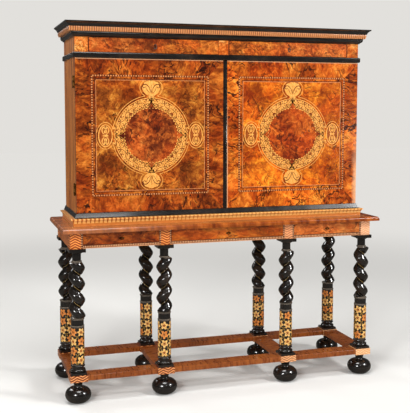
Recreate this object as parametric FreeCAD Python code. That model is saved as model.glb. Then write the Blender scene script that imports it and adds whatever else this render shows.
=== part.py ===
import FreeCAD
import Part
import math
import os

# A veneered cabinet on an eight-legged stand, in millimetres: x to the right, y to the back, z up.
# The origin is on the floor, midway between the two rows of legs.
Vector = FreeCAD.Vector
overrun = 5.0
full_turn = 360.0
quarter_bow_share = (math.sqrt(2) - 1) / 2
soft_bow_share = 0.12
half_round_share = 0.5

# Clearances
door_gap = 2.0
drawer_gap = 2.0
drawer_side_play = 1.0
running_lift = 0.3
pin_play = 0.05
knuckle_gap = 0.3
bolt_play = 0.4

# Places of the legs
leg_outer_x = 830.0
leg_inner_x = 357.5
leg_row_y = 216.0

# Bun feet
bun_radius = 69.0
bun_flat_radius = 28.0
bun_widest_height = 38.0
bun_top_radius = 31.0
bun_height = 78.0
foot_neck_radius = 22.5
foot_neck_height = 92.0
foot_ring_radius = 31.0
foot_ring_height = 7.0
foot_height = 116.0

# Stretcher, a flat frame of boards between thicker blocks
block_width = 93.0
block_height = 35.0
rail_width = 88.0
rail_thickness = 28.0
rail_drop = 2.0
rail_rounding = 3.0

# Legs, from the block upwards
leg_plinth_width = 84.0
leg_plinth_height = 13.0
base_torus_radius = 41.0
base_torus_height = 17.0
base_waist_radius = 33.5
base_waist_height = 11.0
base_ring_height = 8.0
sleeve_seat_height = 6.0
sleeve_radius = 35.5
sleeve_wall = 2.0
sleeve_height = 200.0
collar_ring_radius = 36.5
collar_ring_height = 6.0
collar_height = 46.0
collar_reed_radius = 33.5
collar_reed_count = 16
reed_depth = 2.4
twist_height = 298.0
twist_turns = 3.5
twist_end_radius = 26.0
twist_end_round = 20.0
lobe_reach = 43.0
lobe_side_radius = 30.0
lobe_side_angle = 118.0
lobe_turn_radius = 22.5
lobe_turn_angle = 140.0
groove_radius = 14.5
groove_angle = 157.0
groove_bead_radius = 19.0
neck_height = 54.0
neck_ring_radius = 27.0
neck_ring_height = 6.0
neck_reed_radius = 23.0
neck_reed_count = 12
echinus_foot_radius = 24.5
echinus_radius = 36.0
echinus_height = 9.0
abacus_width = 86.0
abacus_height = 18.0

# Where each twist starts, as a share of a turn, and which way it winds, front row then back row
twist_start_shares = (0.086, 0.590, 0.600, 0.333, 0.890, 0.872, 0.883, 0.828)
twist_hands = (-1, 1, 1, -1, 1, -1, -1, 1)

# Apron and table top
apron_half_width = 867.0
apron_front_y = -246.0
apron_back_y = 256.0
apron_height = 84.0
post_width = 66.0
apron_board = 20.0
back_board = 12.0
front_rail_height = 16.0
runner_thickness = 12.0
runner_bearing = 30.0
guide_height = 30.0
top_half_width = 909.0
top_front_y = -284.5
top_back_y = 268.0
top_thickness = 23.0
top_upper_round = 11.0
top_lower_round = 2.0

# Case of the cabinet
case_half_width = 818.0
case_front_y = -160.0
case_back_y = 248.0
case_board = 22.0
case_back_board = 12.0
door_thickness = 26.0
shelf_thickness = 18.0
shelf_setback = 22.0
shelf_height_shares = (0.34, 0.67)
door_opening_height = 819.0
frieze_height = 79.0
frieze_end_post = 73.0
frieze_centre_post = 60.0

# Mouldings, each with its own height and its reach beyond the case
plinth_height = 40.0
plinth_lower_reach = 22.0
plinth_upper_reach = 33.0
plinth_lip = 6.0
base_height = 27.0
base_reach = 12.0
base_top_reach = 3.0
base_foot_height = 5.0
waist_height = 28.0
waist_reach = 10.0
waist_fillet = 6.0
bed_height = 27.0
bed_lower_reach = 7.0
bed_upper_reach = 20.0
bed_fillet = 4.0
band_height = 24.0
band_lower_reach = 29.0
band_upper_reach = 33.0
cornice_height = 27.0
cornice_lower_reach = 36.0
cornice_reach = 55.0
cornice_fillet = 6.0
cornice_seat = 34.0

# Doors
meeting_x = -4.0
meeting_strip_width = 22.0
meeting_strip_setback = 2.0
meeting_strip_bow_share = 0.07

# Hinges
hinge_height = 64.0
hinge_inset = 92.0
hinge_leaf_thickness = 2.0
hinge_leaf_width = 20.0
knuckle_radius = 5.0
knuckle_clearance = 1.0
hinge_pin_radius = 1.8
hinge_pin_head = 3.0

# Lock of the right door
keyhole_inset = 26.0
keyhole_height_share = 0.492
keyhole_radius = 3.2
keyhole_slot_width = 3.4
keyhole_slot_drop = 11.0
lock_width = 84.0
lock_height = 62.0
lock_depth = 14.0
lock_wall = 1.6
lock_edge_gap = 4.0
lock_bolt_length = 50.0
lock_bolt_height = 16.0
lock_bolt_thickness = 6.0
lock_bolt_travel = 15.0
keeper_wall = 3.0

# Bolts of the left door
rod_radius = 4.0
rod_length = 150.0
rod_travel = 16.0
rod_tip_gap = 1.0
rod_inset = 40.0
rod_standoff = 10.0
rod_guide_width = 22.0
rod_guide_height = 16.0
rod_knob_radius = 6.0
rod_knob_length = 12.0
rod_guide_shares = (0.25, 0.75)

# Drawers
drawer_front_thickness = 18.0
drawer_side_thickness = 10.0
drawer_bottom_thickness = 7.0
drawer_side_drop = 12.0
frieze_drawer_depth = 350.0
apron_drawer_depth = 400.0

# Levels and lines that follow from the sizes
block_bottom = foot_height
block_top = block_bottom + block_height
plinth_top = block_top + leg_plinth_height
torus_top = plinth_top + base_torus_height
base_waist_top = torus_top + base_waist_height
base_ring_top = base_waist_top + base_ring_height
sleeve_bottom = base_ring_top + sleeve_seat_height
sleeve_top = sleeve_bottom + sleeve_height
twist_bottom = sleeve_top + collar_height
twist_top = twist_bottom + twist_height
abacus_bottom = twist_top + neck_height
apron_bottom = abacus_bottom + abacus_height
apron_top = apron_bottom + apron_height
table_top = apron_top + top_thickness
plinth_moulding_top = table_top + plinth_height
opening_bottom = plinth_moulding_top + base_height
opening_top = opening_bottom + door_opening_height
frieze_bottom = opening_top + waist_height
frieze_top = frieze_bottom + frieze_height
band_bottom = frieze_top + bed_height
cornice_bottom = band_bottom + band_height
overall_height = cornice_bottom + cornice_height
door_back_y = case_front_y + door_thickness
carcass_front_y = door_back_y + door_gap
inner_half_width = case_half_width - case_board
inner_back_y = case_back_y - case_back_board
shelf_front_y = carcass_front_y + shelf_setback
post_inner_x = apron_half_width - post_width
leg_places = [(x, y) for y in (-leg_row_y, leg_row_y)
              for x in (-leg_outer_x, -leg_inner_x, leg_inner_x, leg_outer_x)]
hinge_axis_x = case_half_width + knuckle_clearance + knuckle_radius
hinge_axis_y = (door_back_y + carcass_front_y) / 2
door_bottom = opening_bottom + door_gap
door_top = opening_top - door_gap
keyhole_z = door_bottom + (door_top - door_bottom) * keyhole_height_share
right_door_inner_x = meeting_x + meeting_strip_width + door_gap


def box(x_from, x_to, y_from, y_to, z_from, z_to):
    """A board between two corners."""
    corner = Vector(x_from, y_from, z_from)
    return Part.makeBox(x_to - x_from, y_to - y_from, z_to - z_from, corner)


def mirrored(shape):
    """The same piece on the other side of the middle."""
    return shape.mirror(Vector(0, 0, 0), Vector(1, 0, 0))


def outline(points, place):
    """A closed wire. A third entry bows the run to that point outwards by that share of its length."""
    edges = []
    for index, point in enumerate(points):
        previous = points[index - 1]
        start = place(previous[0], previous[1])
        end = place(point[0], point[1])
        if len(point) == 2:
            edges.append(Part.LineSegment(start, end).toShape())
            continue
        run_a = point[0] - previous[0]
        run_b = point[1] - previous[1]
        middle_a = (previous[0] + point[0]) / 2 + run_b * point[2]
        middle_b = (previous[1] + point[1]) / 2 - run_a * point[2]
        edges.append(Part.Arc(start, place(middle_a, middle_b), end).toShape())
    return Part.Wire(edges)


def turned(points):
    """A turned piece from its radius and height points, listed from the bottom of the axis upwards."""
    profile = Part.Face(outline(points, lambda radius, height: Vector(radius, 0, height)))
    return profile.revolve(Vector(0, 0, 0), Vector(0, 0, 1), full_turn)


def plan_prism(corners, z_from, z_to):
    """An upright prism over a plan outline."""
    points = [Vector(x, y, z_from) for x, y in corners]
    return Part.Face(Part.makePolygon(points + points[:1])).extrude(Vector(0, 0, z_to - z_from))


def moulding(points, inner):
    """A moulding round the front and both sides of the case, mitred at the front corners."""
    reach = max(point[0] for point in points) + overrun
    z_low = min(point[1] for point in points) - overrun
    z_high = max(point[1] for point in points) + overrun
    far_x = case_half_width + reach
    near_x = case_half_width + inner
    far_y = case_front_y - reach
    near_y = case_front_y - inner
    face = Part.Face(outline(points, lambda out, z: Vector(-far_x, case_front_y - out, z)))
    front = face.extrude(Vector(2 * far_x, 0, 0))
    front_plan = plan_prism([(-near_x, near_y), (near_x, near_y), (far_x, far_y), (-far_x, far_y)],
                            z_low, z_high)
    face = Part.Face(outline(points, lambda out, z: Vector(case_half_width + out, far_y, z)))
    side = face.extrude(Vector(0, case_back_y - far_y, 0))
    side_plan = plan_prism([(near_x, near_y), (far_x, far_y), (far_x, case_back_y), (near_x, case_back_y)],
                           z_low, z_high)
    right = side.common(side_plan)
    return [front.common(front_plan), right, mirrored(right)]


def bun_foot():
    """A flattened ball on the floor with a waisted neck that is dowelled into the stretcher block."""
    return turned([(0, 0), (bun_flat_radius, 0), (bun_radius, bun_widest_height, quarter_bow_share),
                   (bun_top_radius, bun_height, quarter_bow_share),
                   (foot_neck_radius, foot_neck_height, -quarter_bow_share),
                   (foot_ring_radius, foot_height - foot_ring_height, -soft_bow_share),
                   (foot_ring_radius, foot_height), (0, foot_height)])


def reeded_drum(radius, count, z_from, z_to):
    """A short drum whose wall is a ring of upright reeds."""
    root = radius - reed_depth
    edges = []
    for index in range(count):
        angles = [2 * math.pi * (index + step / 2) / count for step in range(3)]
        start, crest, end = [Vector(r * math.cos(a), r * math.sin(a), z_from)
                             for a, r in zip(angles, (root, radius, root))]
        edges.append(Part.Arc(start, crest, end).toShape())
    return Part.Face(Part.Wire(edges)).extrude(Vector(0, 0, z_to - z_from))


def polar(radius, degrees):
    """A point of the twist's section."""
    angle = math.radians(degrees)
    return Vector(radius * math.cos(angle), radius * math.sin(angle), twist_bottom)


def twist(hand):
    """The carved barley twist: one broad lobe, and a fine bead in its groove, wound up a straight axis."""
    side = polar(lobe_side_radius, lobe_side_angle)
    other_side = polar(lobe_side_radius, -lobe_side_angle)
    groove = polar(groove_radius, groove_angle)
    other_groove = polar(groove_radius, -groove_angle)
    edges = [Part.Arc(other_side, polar(lobe_reach, 0), side).toShape(),
             Part.Arc(side, polar(lobe_turn_radius, lobe_turn_angle), groove).toShape(),
             Part.Arc(groove, polar(groove_bead_radius, full_turn / 2), other_groove).toShape(),
             Part.Arc(other_groove, polar(lobe_turn_radius, -lobe_turn_angle), other_side).toShape()]
    spine = Part.Wire([Part.LineSegment(Vector(0, 0, twist_bottom), Vector(0, 0, twist_top)).toShape()])
    guide = Part.makeHelix(twist_height / twist_turns, twist_height, lobe_reach, 0, hand < 0)
    guide.translate(Vector(0, 0, twist_bottom))
    sweep = Part.BRepOffsetAPI.MakePipeShell(spine)
    sweep.setAuxiliarySpine(Part.Wire(guide.Edges), True, 0)
    sweep.add(Part.Wire(edges))
    sweep.build()
    sweep.makeSolid()
    rounded = turned([(0, twist_bottom), (twist_end_radius, twist_bottom),
                      (lobe_reach + overrun, twist_bottom + twist_end_round, quarter_bow_share),
                      (lobe_reach + overrun, twist_top - twist_end_round),
                      (twist_end_radius, twist_top, quarter_bow_share), (0, twist_top)])
    return sweep.shape().common(rounded)


def leg_foot():
    """The leg below its twist: square plinth, turned base, core for the floral sleeve and reeded collar."""
    half = leg_plinth_width / 2
    core = sleeve_radius - sleeve_wall
    collar_base = sleeve_top + collar_ring_height
    collar_cap = twist_bottom - collar_ring_height
    shaft = turned([(0, plinth_top), (base_torus_radius - base_torus_height / 2, plinth_top),
                    (base_torus_radius - base_torus_height / 2, torus_top, half_round_share),
                    (base_waist_radius, base_waist_top, -soft_bow_share),
                    (base_waist_radius, base_ring_top, half_round_share),
                    (sleeve_radius, sleeve_bottom), (core, sleeve_bottom), (core, sleeve_top),
                    (collar_ring_radius, sleeve_top), (collar_ring_radius, collar_base), (0, collar_base)])
    plinth = box(-half, half, -half, half, block_top, plinth_top)
    drum = reeded_drum(collar_reed_radius, collar_reed_count, collar_base, collar_cap)
    cap = Part.makeCylinder(collar_ring_radius, collar_ring_height, Vector(0, 0, collar_cap))
    return plinth.fuse([shaft, drum, cap])


def leg_head():
    """The leg above its twist: reeded neck, spreading echinus and square abacus."""
    half = abacus_width / 2
    ring_top = twist_top + neck_ring_height
    echinus_bottom = abacus_bottom - echinus_height
    ring = Part.makeCylinder(neck_ring_radius, neck_ring_height, Vector(0, 0, twist_top))
    drum = reeded_drum(neck_reed_radius, neck_reed_count, ring_top, echinus_bottom)
    echinus = turned([(0, echinus_bottom), (echinus_foot_radius, echinus_bottom),
                      (echinus_radius, abacus_bottom, soft_bow_share), (0, abacus_bottom)])
    abacus = box(-half, half, -half, half, abacus_bottom, apron_bottom)
    return ring.fuse([drum, echinus, abacus])


def placed(shape, place):
    """A copy of a piece made at the origin, moved to its place on the plan."""
    copy = shape.copy()
    copy.translate(Vector(place[0], place[1], 0))
    return copy


def make_legs(parts):
    """Eight legs, their feet, sleeves and stretcher blocks."""
    foot = bun_foot()
    lower = leg_foot()
    upper = leg_head()
    twists = {hand: twist(hand) for hand in (1, -1)}
    sleeve = Part.makeCylinder(sleeve_radius, sleeve_height, Vector(0, 0, sleeve_bottom))
    core = Part.makeCylinder(sleeve_radius - sleeve_wall, sleeve_height, Vector(0, 0, sleeve_bottom))
    sleeve = sleeve.cut(core)
    half = block_width / 2
    block = box(-half, half, -half, half, block_bottom, block_top)
    names = [f"{row}_leg_{number}" for row in ("front", "back") for number in (1, 2, 3, 4)]
    for name, place, share, hand in zip(names, leg_places, twist_start_shares, twist_hands):
        shaft = twists[hand].copy()
        shaft.rotate(Vector(0, 0, 0), Vector(0, 0, 1), full_turn * share)
        parts[name] = [placed(lower.fuse([shaft, upper]), place)]
    parts["bun_feet"] = [placed(foot, place) for place in leg_places]
    parts["floral_sleeves"] = [placed(sleeve, place) for place in leg_places]
    parts["stretcher_blocks"] = [placed(block, place) for place in leg_places]


def make_stretcher(parts):
    """Flat rails between the blocks: three lengths along the front and the back, and four across."""
    z_to = block_top - rail_drop
    z_from = z_to - rail_thickness
    half_rail = rail_width / 2
    half_block = block_width / 2
    spans = [(-leg_outer_x, -leg_inner_x), (-leg_inner_x, leg_inner_x), (leg_inner_x, leg_outer_x)]
    for name, y in (("stretcher_front_rail", -leg_row_y), ("stretcher_back_rail", leg_row_y)):
        lengths = []
        for x_from, x_to in spans:
            length = box(x_from + half_block, x_to - half_block, y - half_rail, y + half_rail, z_from, z_to)
            lengths.append(rounded_along(length, rail_rounding, 0))
        parts[name] = lengths
    across = []
    for x in (-leg_outer_x, -leg_inner_x, leg_inner_x, leg_outer_x):
        length = box(x - half_rail, x + half_rail, half_block - leg_row_y, leg_row_y - half_block, z_from, z_to)
        across.append(rounded_along(length, rail_rounding, 1))
    parts["stretcher_cross_rails"] = across


def rounded_along(board, radius, axis):
    """A board with its two upper long edges eased. The axis is 0 along x and 1 along y."""
    top = board.BoundBox.ZMax
    edges = []
    for edge in board.Edges:
        start, end = [vertex.Point for vertex in edge.Vertexes]
        run = end - start
        if abs(run[axis]) > radius and start.z == end.z == top:
            edges.append(edge)
    return board.makeFillet(radius, edges)


def make_apron(parts):
    """The frame under the table top, with an opening for each of its three drawers."""
    inner_left = leg_inner_x - post_width / 2
    inner_right = leg_inner_x + post_width / 2
    rail_top = apron_bottom + front_rail_height
    post_back_y = apron_front_y + post_width
    back_inner_y = apron_back_y - back_board
    outer_posts = [box(post_inner_x, apron_half_width, apron_front_y, post_back_y, apron_bottom, apron_top),
                   box(post_inner_x, apron_half_width, apron_back_y - post_width, apron_back_y,
                       apron_bottom, apron_top)]
    inner_posts = [box(inner_left, inner_right, apron_front_y, post_back_y, apron_bottom, apron_top),
                   box(inner_left, inner_right, back_inner_y - post_width, back_inner_y,
                       apron_bottom, apron_top)]
    posts = outer_posts + inner_posts
    parts["apron_posts"] = posts + [mirrored(post) for post in posts]
    rail_back_y = apron_front_y + apron_board
    side_rail = box(inner_right, post_inner_x, apron_front_y, rail_back_y, apron_bottom, rail_top)
    middle_rail = box(-inner_left, inner_left, apron_front_y, rail_back_y, apron_bottom, rail_top)
    parts["apron_front_rail"] = [mirrored(side_rail), middle_rail, side_rail]
    side = box(apron_half_width - apron_board, apron_half_width, post_back_y, apron_back_y - post_width,
               apron_bottom, apron_top)
    parts["apron_right_side"] = [side]
    parts["apron_left_side"] = [mirrored(side)]
    parts["apron_back"] = [box(-post_inner_x, post_inner_x, back_inner_y, apron_back_y,
                               apron_bottom, apron_top)]
    runner_bottom = rail_top - runner_thickness
    outer_back_y = apron_back_y - post_width
    inner_back = back_inner_y - post_width
    side_inner_x = apron_half_width - apron_board
    pieces = [box(post_inner_x - runner_bearing, side_inner_x, post_back_y, outer_back_y,
                  runner_bottom, rail_top),
              box(post_inner_x, side_inner_x, post_back_y, outer_back_y, rail_top, rail_top + guide_height),
              box(inner_left - runner_bearing, inner_right + runner_bearing, post_back_y, inner_back,
                  runner_bottom, rail_top),
              box(inner_left, inner_right, post_back_y, inner_back, rail_top, rail_top + guide_height)]
    parts["drawer_runners"] = pieces + [mirrored(piece) for piece in pieces]


def make_table_top(parts):
    """The veneered top of the stand, rounded over along its front and side edges."""
    top = box(-top_half_width, top_half_width, top_front_y, top_back_y, apron_top, table_top)

    def edge_set(z):
        """The front and side edges of one face."""
        chosen = []
        for edge in top.Edges:
            start, end = [vertex.Point for vertex in edge.Vertexes]
            along_back = start.y == end.y == top_back_y
            if start.z == end.z == z and not along_back:
                chosen.append(edge)
        return chosen

    top = top.makeFillet(top_upper_round, edge_set(table_top))
    parts["table_top"] = [top.makeFillet(top_lower_round, edge_set(apron_top))]


def keyhole(x, z, y_from, y_to):
    """A keyhole through a board: a round hole with a slot below it."""
    bore = Part.makeCylinder(keyhole_radius, y_to - y_from + 2 * overrun, Vector(x, y_from - overrun, z),
                             Vector(0, 1, 0))
    slot = box(x - keyhole_slot_width / 2, x + keyhole_slot_width / 2, y_from - overrun, y_to + overrun,
               z - keyhole_slot_drop, z)
    return bore.fuse(slot)


def make_drawer(parts, name, x_from, x_to, front_y, depth, z_from, z_to):
    """A drawer with a veneered front and a box of plain boards behind it."""
    front_x = (x_from + drawer_gap, x_to - drawer_gap)
    back_y = front_y + drawer_front_thickness
    front = box(front_x[0], front_x[1], front_y, back_y, z_from + drawer_gap, z_to - drawer_gap)
    middle_x = (x_from + x_to) / 2
    middle_z = (z_from + z_to) / 2
    parts[f"{name}_front"] = [front.cut(keyhole(middle_x, middle_z, front_y, back_y))]
    left = x_from + drawer_side_play
    right = x_to - drawer_side_play
    low = z_from + running_lift
    high = z_to - drawer_side_drop
    rear = front_y + depth
    wall = drawer_side_thickness
    floor = low + drawer_bottom_thickness
    parts[f"{name}_box"] = [box(left, left + wall, back_y, rear, low, high),
                            box(right - wall, right, back_y, rear, low, high),
                            box(left + wall, right - wall, rear - wall, rear, low, high),
                            box(left + wall, right - wall, back_y, rear - wall, low, floor)]


def make_drawers(parts):
    """Two drawers in the frieze and three in the apron."""
    inner_x = case_half_width - frieze_end_post
    centre_x = frieze_centre_post / 2
    for name, x_from, x_to in (("frieze_left_drawer", -inner_x, -centre_x),
                               ("frieze_right_drawer", centre_x, inner_x)):
        make_drawer(parts, name, x_from, x_to, case_front_y, frieze_drawer_depth, frieze_bottom, frieze_top)
    rail_top = apron_bottom + front_rail_height
    near = leg_inner_x - post_width / 2
    far = leg_inner_x + post_width / 2
    for name, x_from, x_to in (("apron_left_drawer", -post_inner_x, -far), ("apron_middle_drawer", -near, near),
                               ("apron_right_drawer", far, post_inner_x)):
        make_drawer(parts, name, x_from, x_to, apron_front_y, apron_drawer_depth, rail_top, apron_top)


def hinge_levels():
    """The bottom of each of a door's two hinges."""
    return (door_bottom + hinge_inset, door_top - hinge_inset - hinge_height)


def hinge_leaf_box(on_door, z_from):
    """The flat leaf of a right-hand hinge, let into the door's back or the case's front edge."""
    if on_door:
        y_from = door_back_y - hinge_leaf_thickness
    else:
        y_from = carcass_front_y
    return box(case_half_width - hinge_leaf_width, hinge_axis_x, y_from, y_from + hinge_leaf_thickness,
               z_from, z_from + hinge_height)


def hinge_half(on_door, z_from):
    """One half of a right-hand hinge: the door has the middle knuckle, the case the upper and lower ones."""
    third = hinge_height / 3
    levels = [1] if on_door else [0, 2]
    axis = Vector(0, 0, 1)
    leaf = hinge_leaf_box(on_door, z_from)
    keep = case_half_width + knuckle_clearance / 2
    half = leaf.cut(box(keep, hinge_axis_x + overrun, carcass_front_y - knuckle_radius - overrun,
                        carcass_front_y + knuckle_radius + overrun, z_from, z_from + hinge_height))
    for level in levels:
        low = z_from + level * third + knuckle_gap / 2
        centre = Vector(hinge_axis_x, hinge_axis_y, low)
        knuckle = Part.makeCylinder(knuckle_radius, third - knuckle_gap, centre, axis)
        strip = leaf.common(box(case_half_width - hinge_leaf_width, hinge_axis_x, case_front_y, case_back_y,
                                low, low + third - knuckle_gap))
        half = half.fuse([knuckle, strip])
    bore_radius = hinge_pin_radius + pin_play if on_door else hinge_pin_radius
    bore = Part.makeCylinder(bore_radius, hinge_height + 2 * overrun,
                             Vector(hinge_axis_x, hinge_axis_y, z_from - overrun), axis)
    return half.cut(bore)


def hinge_pin(z_from):
    """A hinge pin with a small round head above and below the knuckles."""
    centre = Vector(hinge_axis_x, hinge_axis_y, z_from - hinge_pin_head / 2)
    pin = Part.makeCylinder(hinge_pin_radius, hinge_height + hinge_pin_head, centre)
    heads = []
    for z in (z_from, z_from + hinge_height):
        heads.append(Part.makeSphere(hinge_pin_head, Vector(hinge_axis_x, hinge_axis_y, z)))
    inside = Part.makeCylinder(knuckle_radius, hinge_height, Vector(hinge_axis_x, hinge_axis_y, z_from))
    return pin.fuse([head.cut(inside) for head in heads])


def make_case(parts):
    """The carcass: sides, boards, partition, shelves, front rails and the posts of the frieze."""
    front = carcass_front_y
    side = box(inner_half_width, case_half_width, front, case_back_y, table_top, cornice_bottom)
    for level in hinge_levels():
        side = side.cut(hinge_leaf_box(False, level))
    parts["case_right_side"] = [side]
    parts["case_left_side"] = [mirrored(side)]
    parts["case_back"] = [box(-inner_half_width, inner_half_width, inner_back_y, case_back_y,
                              table_top, cornice_bottom)]
    rod_x = meeting_x - rod_inset
    rod_y = door_back_y + rod_standoff
    bores = [Part.makeCylinder(rod_radius + bolt_play, rod_travel + overrun, Vector(rod_x, rod_y, z))
             for z in (opening_bottom - rod_travel - overrun, opening_top)]
    bottom = box(-inner_half_width, inner_half_width, front, inner_back_y,
                 opening_bottom - case_board, opening_bottom)
    parts["case_bottom"] = [bottom.cut(bores[0])]
    dust_board = box(-inner_half_width, inner_half_width, front, inner_back_y, opening_top, frieze_bottom)
    parts["dust_board"] = [dust_board.cut(bores[1])]
    parts["case_top"] = [box(-inner_half_width, inner_half_width, front, inner_back_y,
                             cornice_bottom - case_board, cornice_bottom)]
    half = case_board / 2
    parts["case_partition"] = [box(-half, half, shelf_front_y, inner_back_y, opening_bottom, opening_top)]
    shelves = []
    for share in shelf_height_shares:
        z = opening_bottom + door_opening_height * share
        shelf = box(half, inner_half_width, shelf_front_y, inner_back_y, z, z + shelf_thickness)
        shelves += [mirrored(shelf), shelf]
    parts["shelves"] = shelves
    rails = [(table_top, opening_bottom), (opening_top, frieze_bottom), (frieze_top, cornice_bottom)]
    parts["case_front_rails"] = [box(-case_half_width, case_half_width, case_front_y, front, z_from, z_to)
                                 for z_from, z_to in rails]
    end_x = case_half_width - frieze_end_post
    half_post = frieze_centre_post / 2
    end = box(end_x, case_half_width, case_front_y, front, frieze_bottom, frieze_top)
    centre = box(-half_post, half_post, case_front_y, front, frieze_bottom, frieze_top)
    parts["frieze_posts"] = [mirrored(end), centre, end]
    guide_top = frieze_bottom + guide_height
    guide = box(end_x, inner_half_width, front, inner_back_y, frieze_bottom, guide_top)
    middle = box(-half_post, half_post, front, inner_back_y, frieze_bottom, guide_top)
    parts["frieze_guides"] = [mirrored(guide), middle, guide]


def make_mouldings(parts):
    """The six mouldings that run round the case, from the plinth up to the cornice."""
    lip_bottom = plinth_moulding_top - plinth_lip
    parts["plinth_moulding"] = moulding(
        [(0, table_top), (plinth_lower_reach, table_top),
         (plinth_upper_reach - plinth_lip / 2, lip_bottom, -soft_bow_share),
         (plinth_upper_reach, lip_bottom), (plinth_upper_reach, plinth_moulding_top),
         (0, plinth_moulding_top)], 0)
    parts["base_moulding"] = moulding(
        [(0, plinth_moulding_top), (base_reach, plinth_moulding_top),
         (base_reach, plinth_moulding_top + base_foot_height), (base_top_reach, opening_bottom),
         (0, opening_bottom)], 0)
    parts["waist_moulding"] = moulding(
        [(0, opening_top), (waist_fillet, opening_top),
         (waist_reach, opening_top + waist_fillet, soft_bow_share),
         (waist_reach, frieze_bottom - waist_fillet), (waist_fillet, frieze_bottom, soft_bow_share),
         (0, frieze_bottom)], 0)
    parts["bed_moulding"] = moulding(
        [(0, frieze_top), (bed_lower_reach, frieze_top), (bed_lower_reach, frieze_top + bed_fillet),
         (bed_upper_reach, band_bottom - bed_fillet, quarter_bow_share), (bed_upper_reach, band_bottom),
         (0, band_bottom)], 0)
    parts["ripple_band"] = moulding(
        [(0, band_bottom), (band_lower_reach, band_bottom), (band_upper_reach, cornice_bottom, soft_bow_share),
         (0, cornice_bottom)], 0)
    parts["top_cornice"] = moulding(
        [(-cornice_seat, cornice_bottom), (cornice_lower_reach, cornice_bottom),
         (cornice_reach, overall_height - cornice_fillet, -soft_bow_share), (cornice_reach, overall_height),
         (-cornice_seat, overall_height)], -cornice_seat)


def make_doors(parts):
    """Two doors that cover the carcass's front edges, with a black strip between them."""
    right = box(right_door_inner_x, case_half_width, case_front_y, door_back_y, door_bottom, door_top)
    left = box(-case_half_width, meeting_x, case_front_y, door_back_y, door_bottom, door_top)
    right = right.cut(keyhole(right_door_inner_x + keyhole_inset, keyhole_z, case_front_y, door_back_y))
    for level in hinge_levels():
        leaf = hinge_leaf_box(True, level)
        right = right.cut(leaf)
        left = left.cut(mirrored(leaf))
    parts["right_door"] = [right]
    parts["left_door"] = [left]
    strip_right = meeting_x + meeting_strip_width
    front_y = case_front_y + meeting_strip_setback
    strip_points = [(strip_right, front_y), (strip_right, door_back_y), (meeting_x, door_back_y),
                    (meeting_x, front_y)]
    section = outline([strip_points[0] + (meeting_strip_bow_share,)] + strip_points[1:],
                      lambda x, y: Vector(x, y, door_bottom))
    parts["meeting_strip"] = [Part.Face(section).extrude(Vector(0, 0, door_top - door_bottom))]


def make_hinges(parts):
    """Two hinges to a door: the case's halves and pins stay, the doors' halves turn."""
    fixed = []
    for level in hinge_levels():
        fixed += [hinge_half(False, level), hinge_pin(level)]
    parts["case_hinge_halves"] = fixed + [mirrored(piece) for piece in fixed]
    moving = [hinge_half(True, level) for level in hinge_levels()]
    parts["right_door_hinge_halves"] = moving
    parts["left_door_hinge_halves"] = [mirrored(piece) for piece in moving]


def make_lock(parts):
    """The box lock on the back of the right door, its sliding bolt and the keeper on the left door."""
    x_from = right_door_inner_x + lock_edge_gap
    x_to = x_from + lock_width
    z_from = keyhole_z - lock_height / 2
    z_to = z_from + lock_height
    y_to = door_back_y + lock_depth
    shell = box(x_from, x_to, door_back_y, y_to, z_from, z_to)
    hollow = box(x_from + lock_wall, x_to - lock_wall, door_back_y + lock_wall, y_to - lock_wall,
                 z_from + lock_wall, z_to - lock_wall)
    bolt_y = (door_back_y + y_to) / 2
    half_y = lock_bolt_thickness / 2
    half_z = lock_bolt_height / 2
    slot = box(x_from - overrun, x_from + overrun, bolt_y - half_y - bolt_play, bolt_y + half_y + bolt_play,
               keyhole_z - half_z - bolt_play, keyhole_z + half_z + bolt_play)
    way_in = keyhole(right_door_inner_x + keyhole_inset, keyhole_z, door_back_y - overrun, door_back_y)
    parts["door_lock"] = [shell.cut([hollow, slot, way_in])]
    bolt_from = x_from + bolt_play
    parts["lock_bolt"] = [box(bolt_from, bolt_from + lock_bolt_length, bolt_y - half_y, bolt_y + half_y,
                              keyhole_z - half_z, keyhole_z + half_z)]
    keeper_to = meeting_x + meeting_strip_width - door_gap
    keeper_from = x_from + bolt_play - lock_bolt_travel
    reach_z = half_z + bolt_play + keeper_wall
    reach_y = bolt_y + half_y + bolt_play + keeper_wall
    keeper = box(keeper_from, keeper_to, door_back_y, reach_y, keyhole_z - reach_z, keyhole_z + reach_z)
    eye = box(keeper_from - overrun, keeper_to + overrun, bolt_y - half_y - bolt_play,
              bolt_y + half_y + bolt_play, keyhole_z - half_z - bolt_play, keyhole_z + half_z + bolt_play)
    parts["lock_keeper"] = [keeper.cut(eye)]


def make_rod(parts, name, tip_z, direction):
    """A sliding bolt on the back of the left door and the two guides that hold it, at rest drawn back."""
    x = meeting_x - rod_inset
    y = door_back_y + rod_standoff
    tip = tip_z - direction * rod_tip_gap
    axis = Vector(0, 0, -direction)
    rod = Part.makeCylinder(rod_radius, rod_length, Vector(x, y, tip), axis)
    knob_z = tip - direction * rod_length / 2
    knob = Part.makeCylinder(rod_knob_radius, rod_knob_length, Vector(x, y, knob_z), Vector(0, 1, 0))
    parts[name] = [rod.fuse(knob)]
    guides = []
    for share in rod_guide_shares:
        middle = tip - direction * rod_length * share
        guide = box(x - rod_guide_width / 2, x + rod_guide_width / 2, door_back_y,
                    y + rod_radius + keeper_wall, middle - rod_guide_height / 2, middle + rod_guide_height / 2)
        bore = Part.makeCylinder(rod_radius + bolt_play, rod_guide_height + 2 * overrun,
                                 Vector(x, y, middle - rod_guide_height / 2 - overrun))
        guides.append(guide.cut(bore))
    return guides


def make_rods(parts):
    """The bolts that hold the left door shut at its top and bottom."""
    guides = make_rod(parts, "left_door_top_bolt", door_top, 1)
    guides += make_rod(parts, "left_door_bottom_bolt", door_bottom, -1)
    parts["bolt_guides"] = guides


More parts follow.
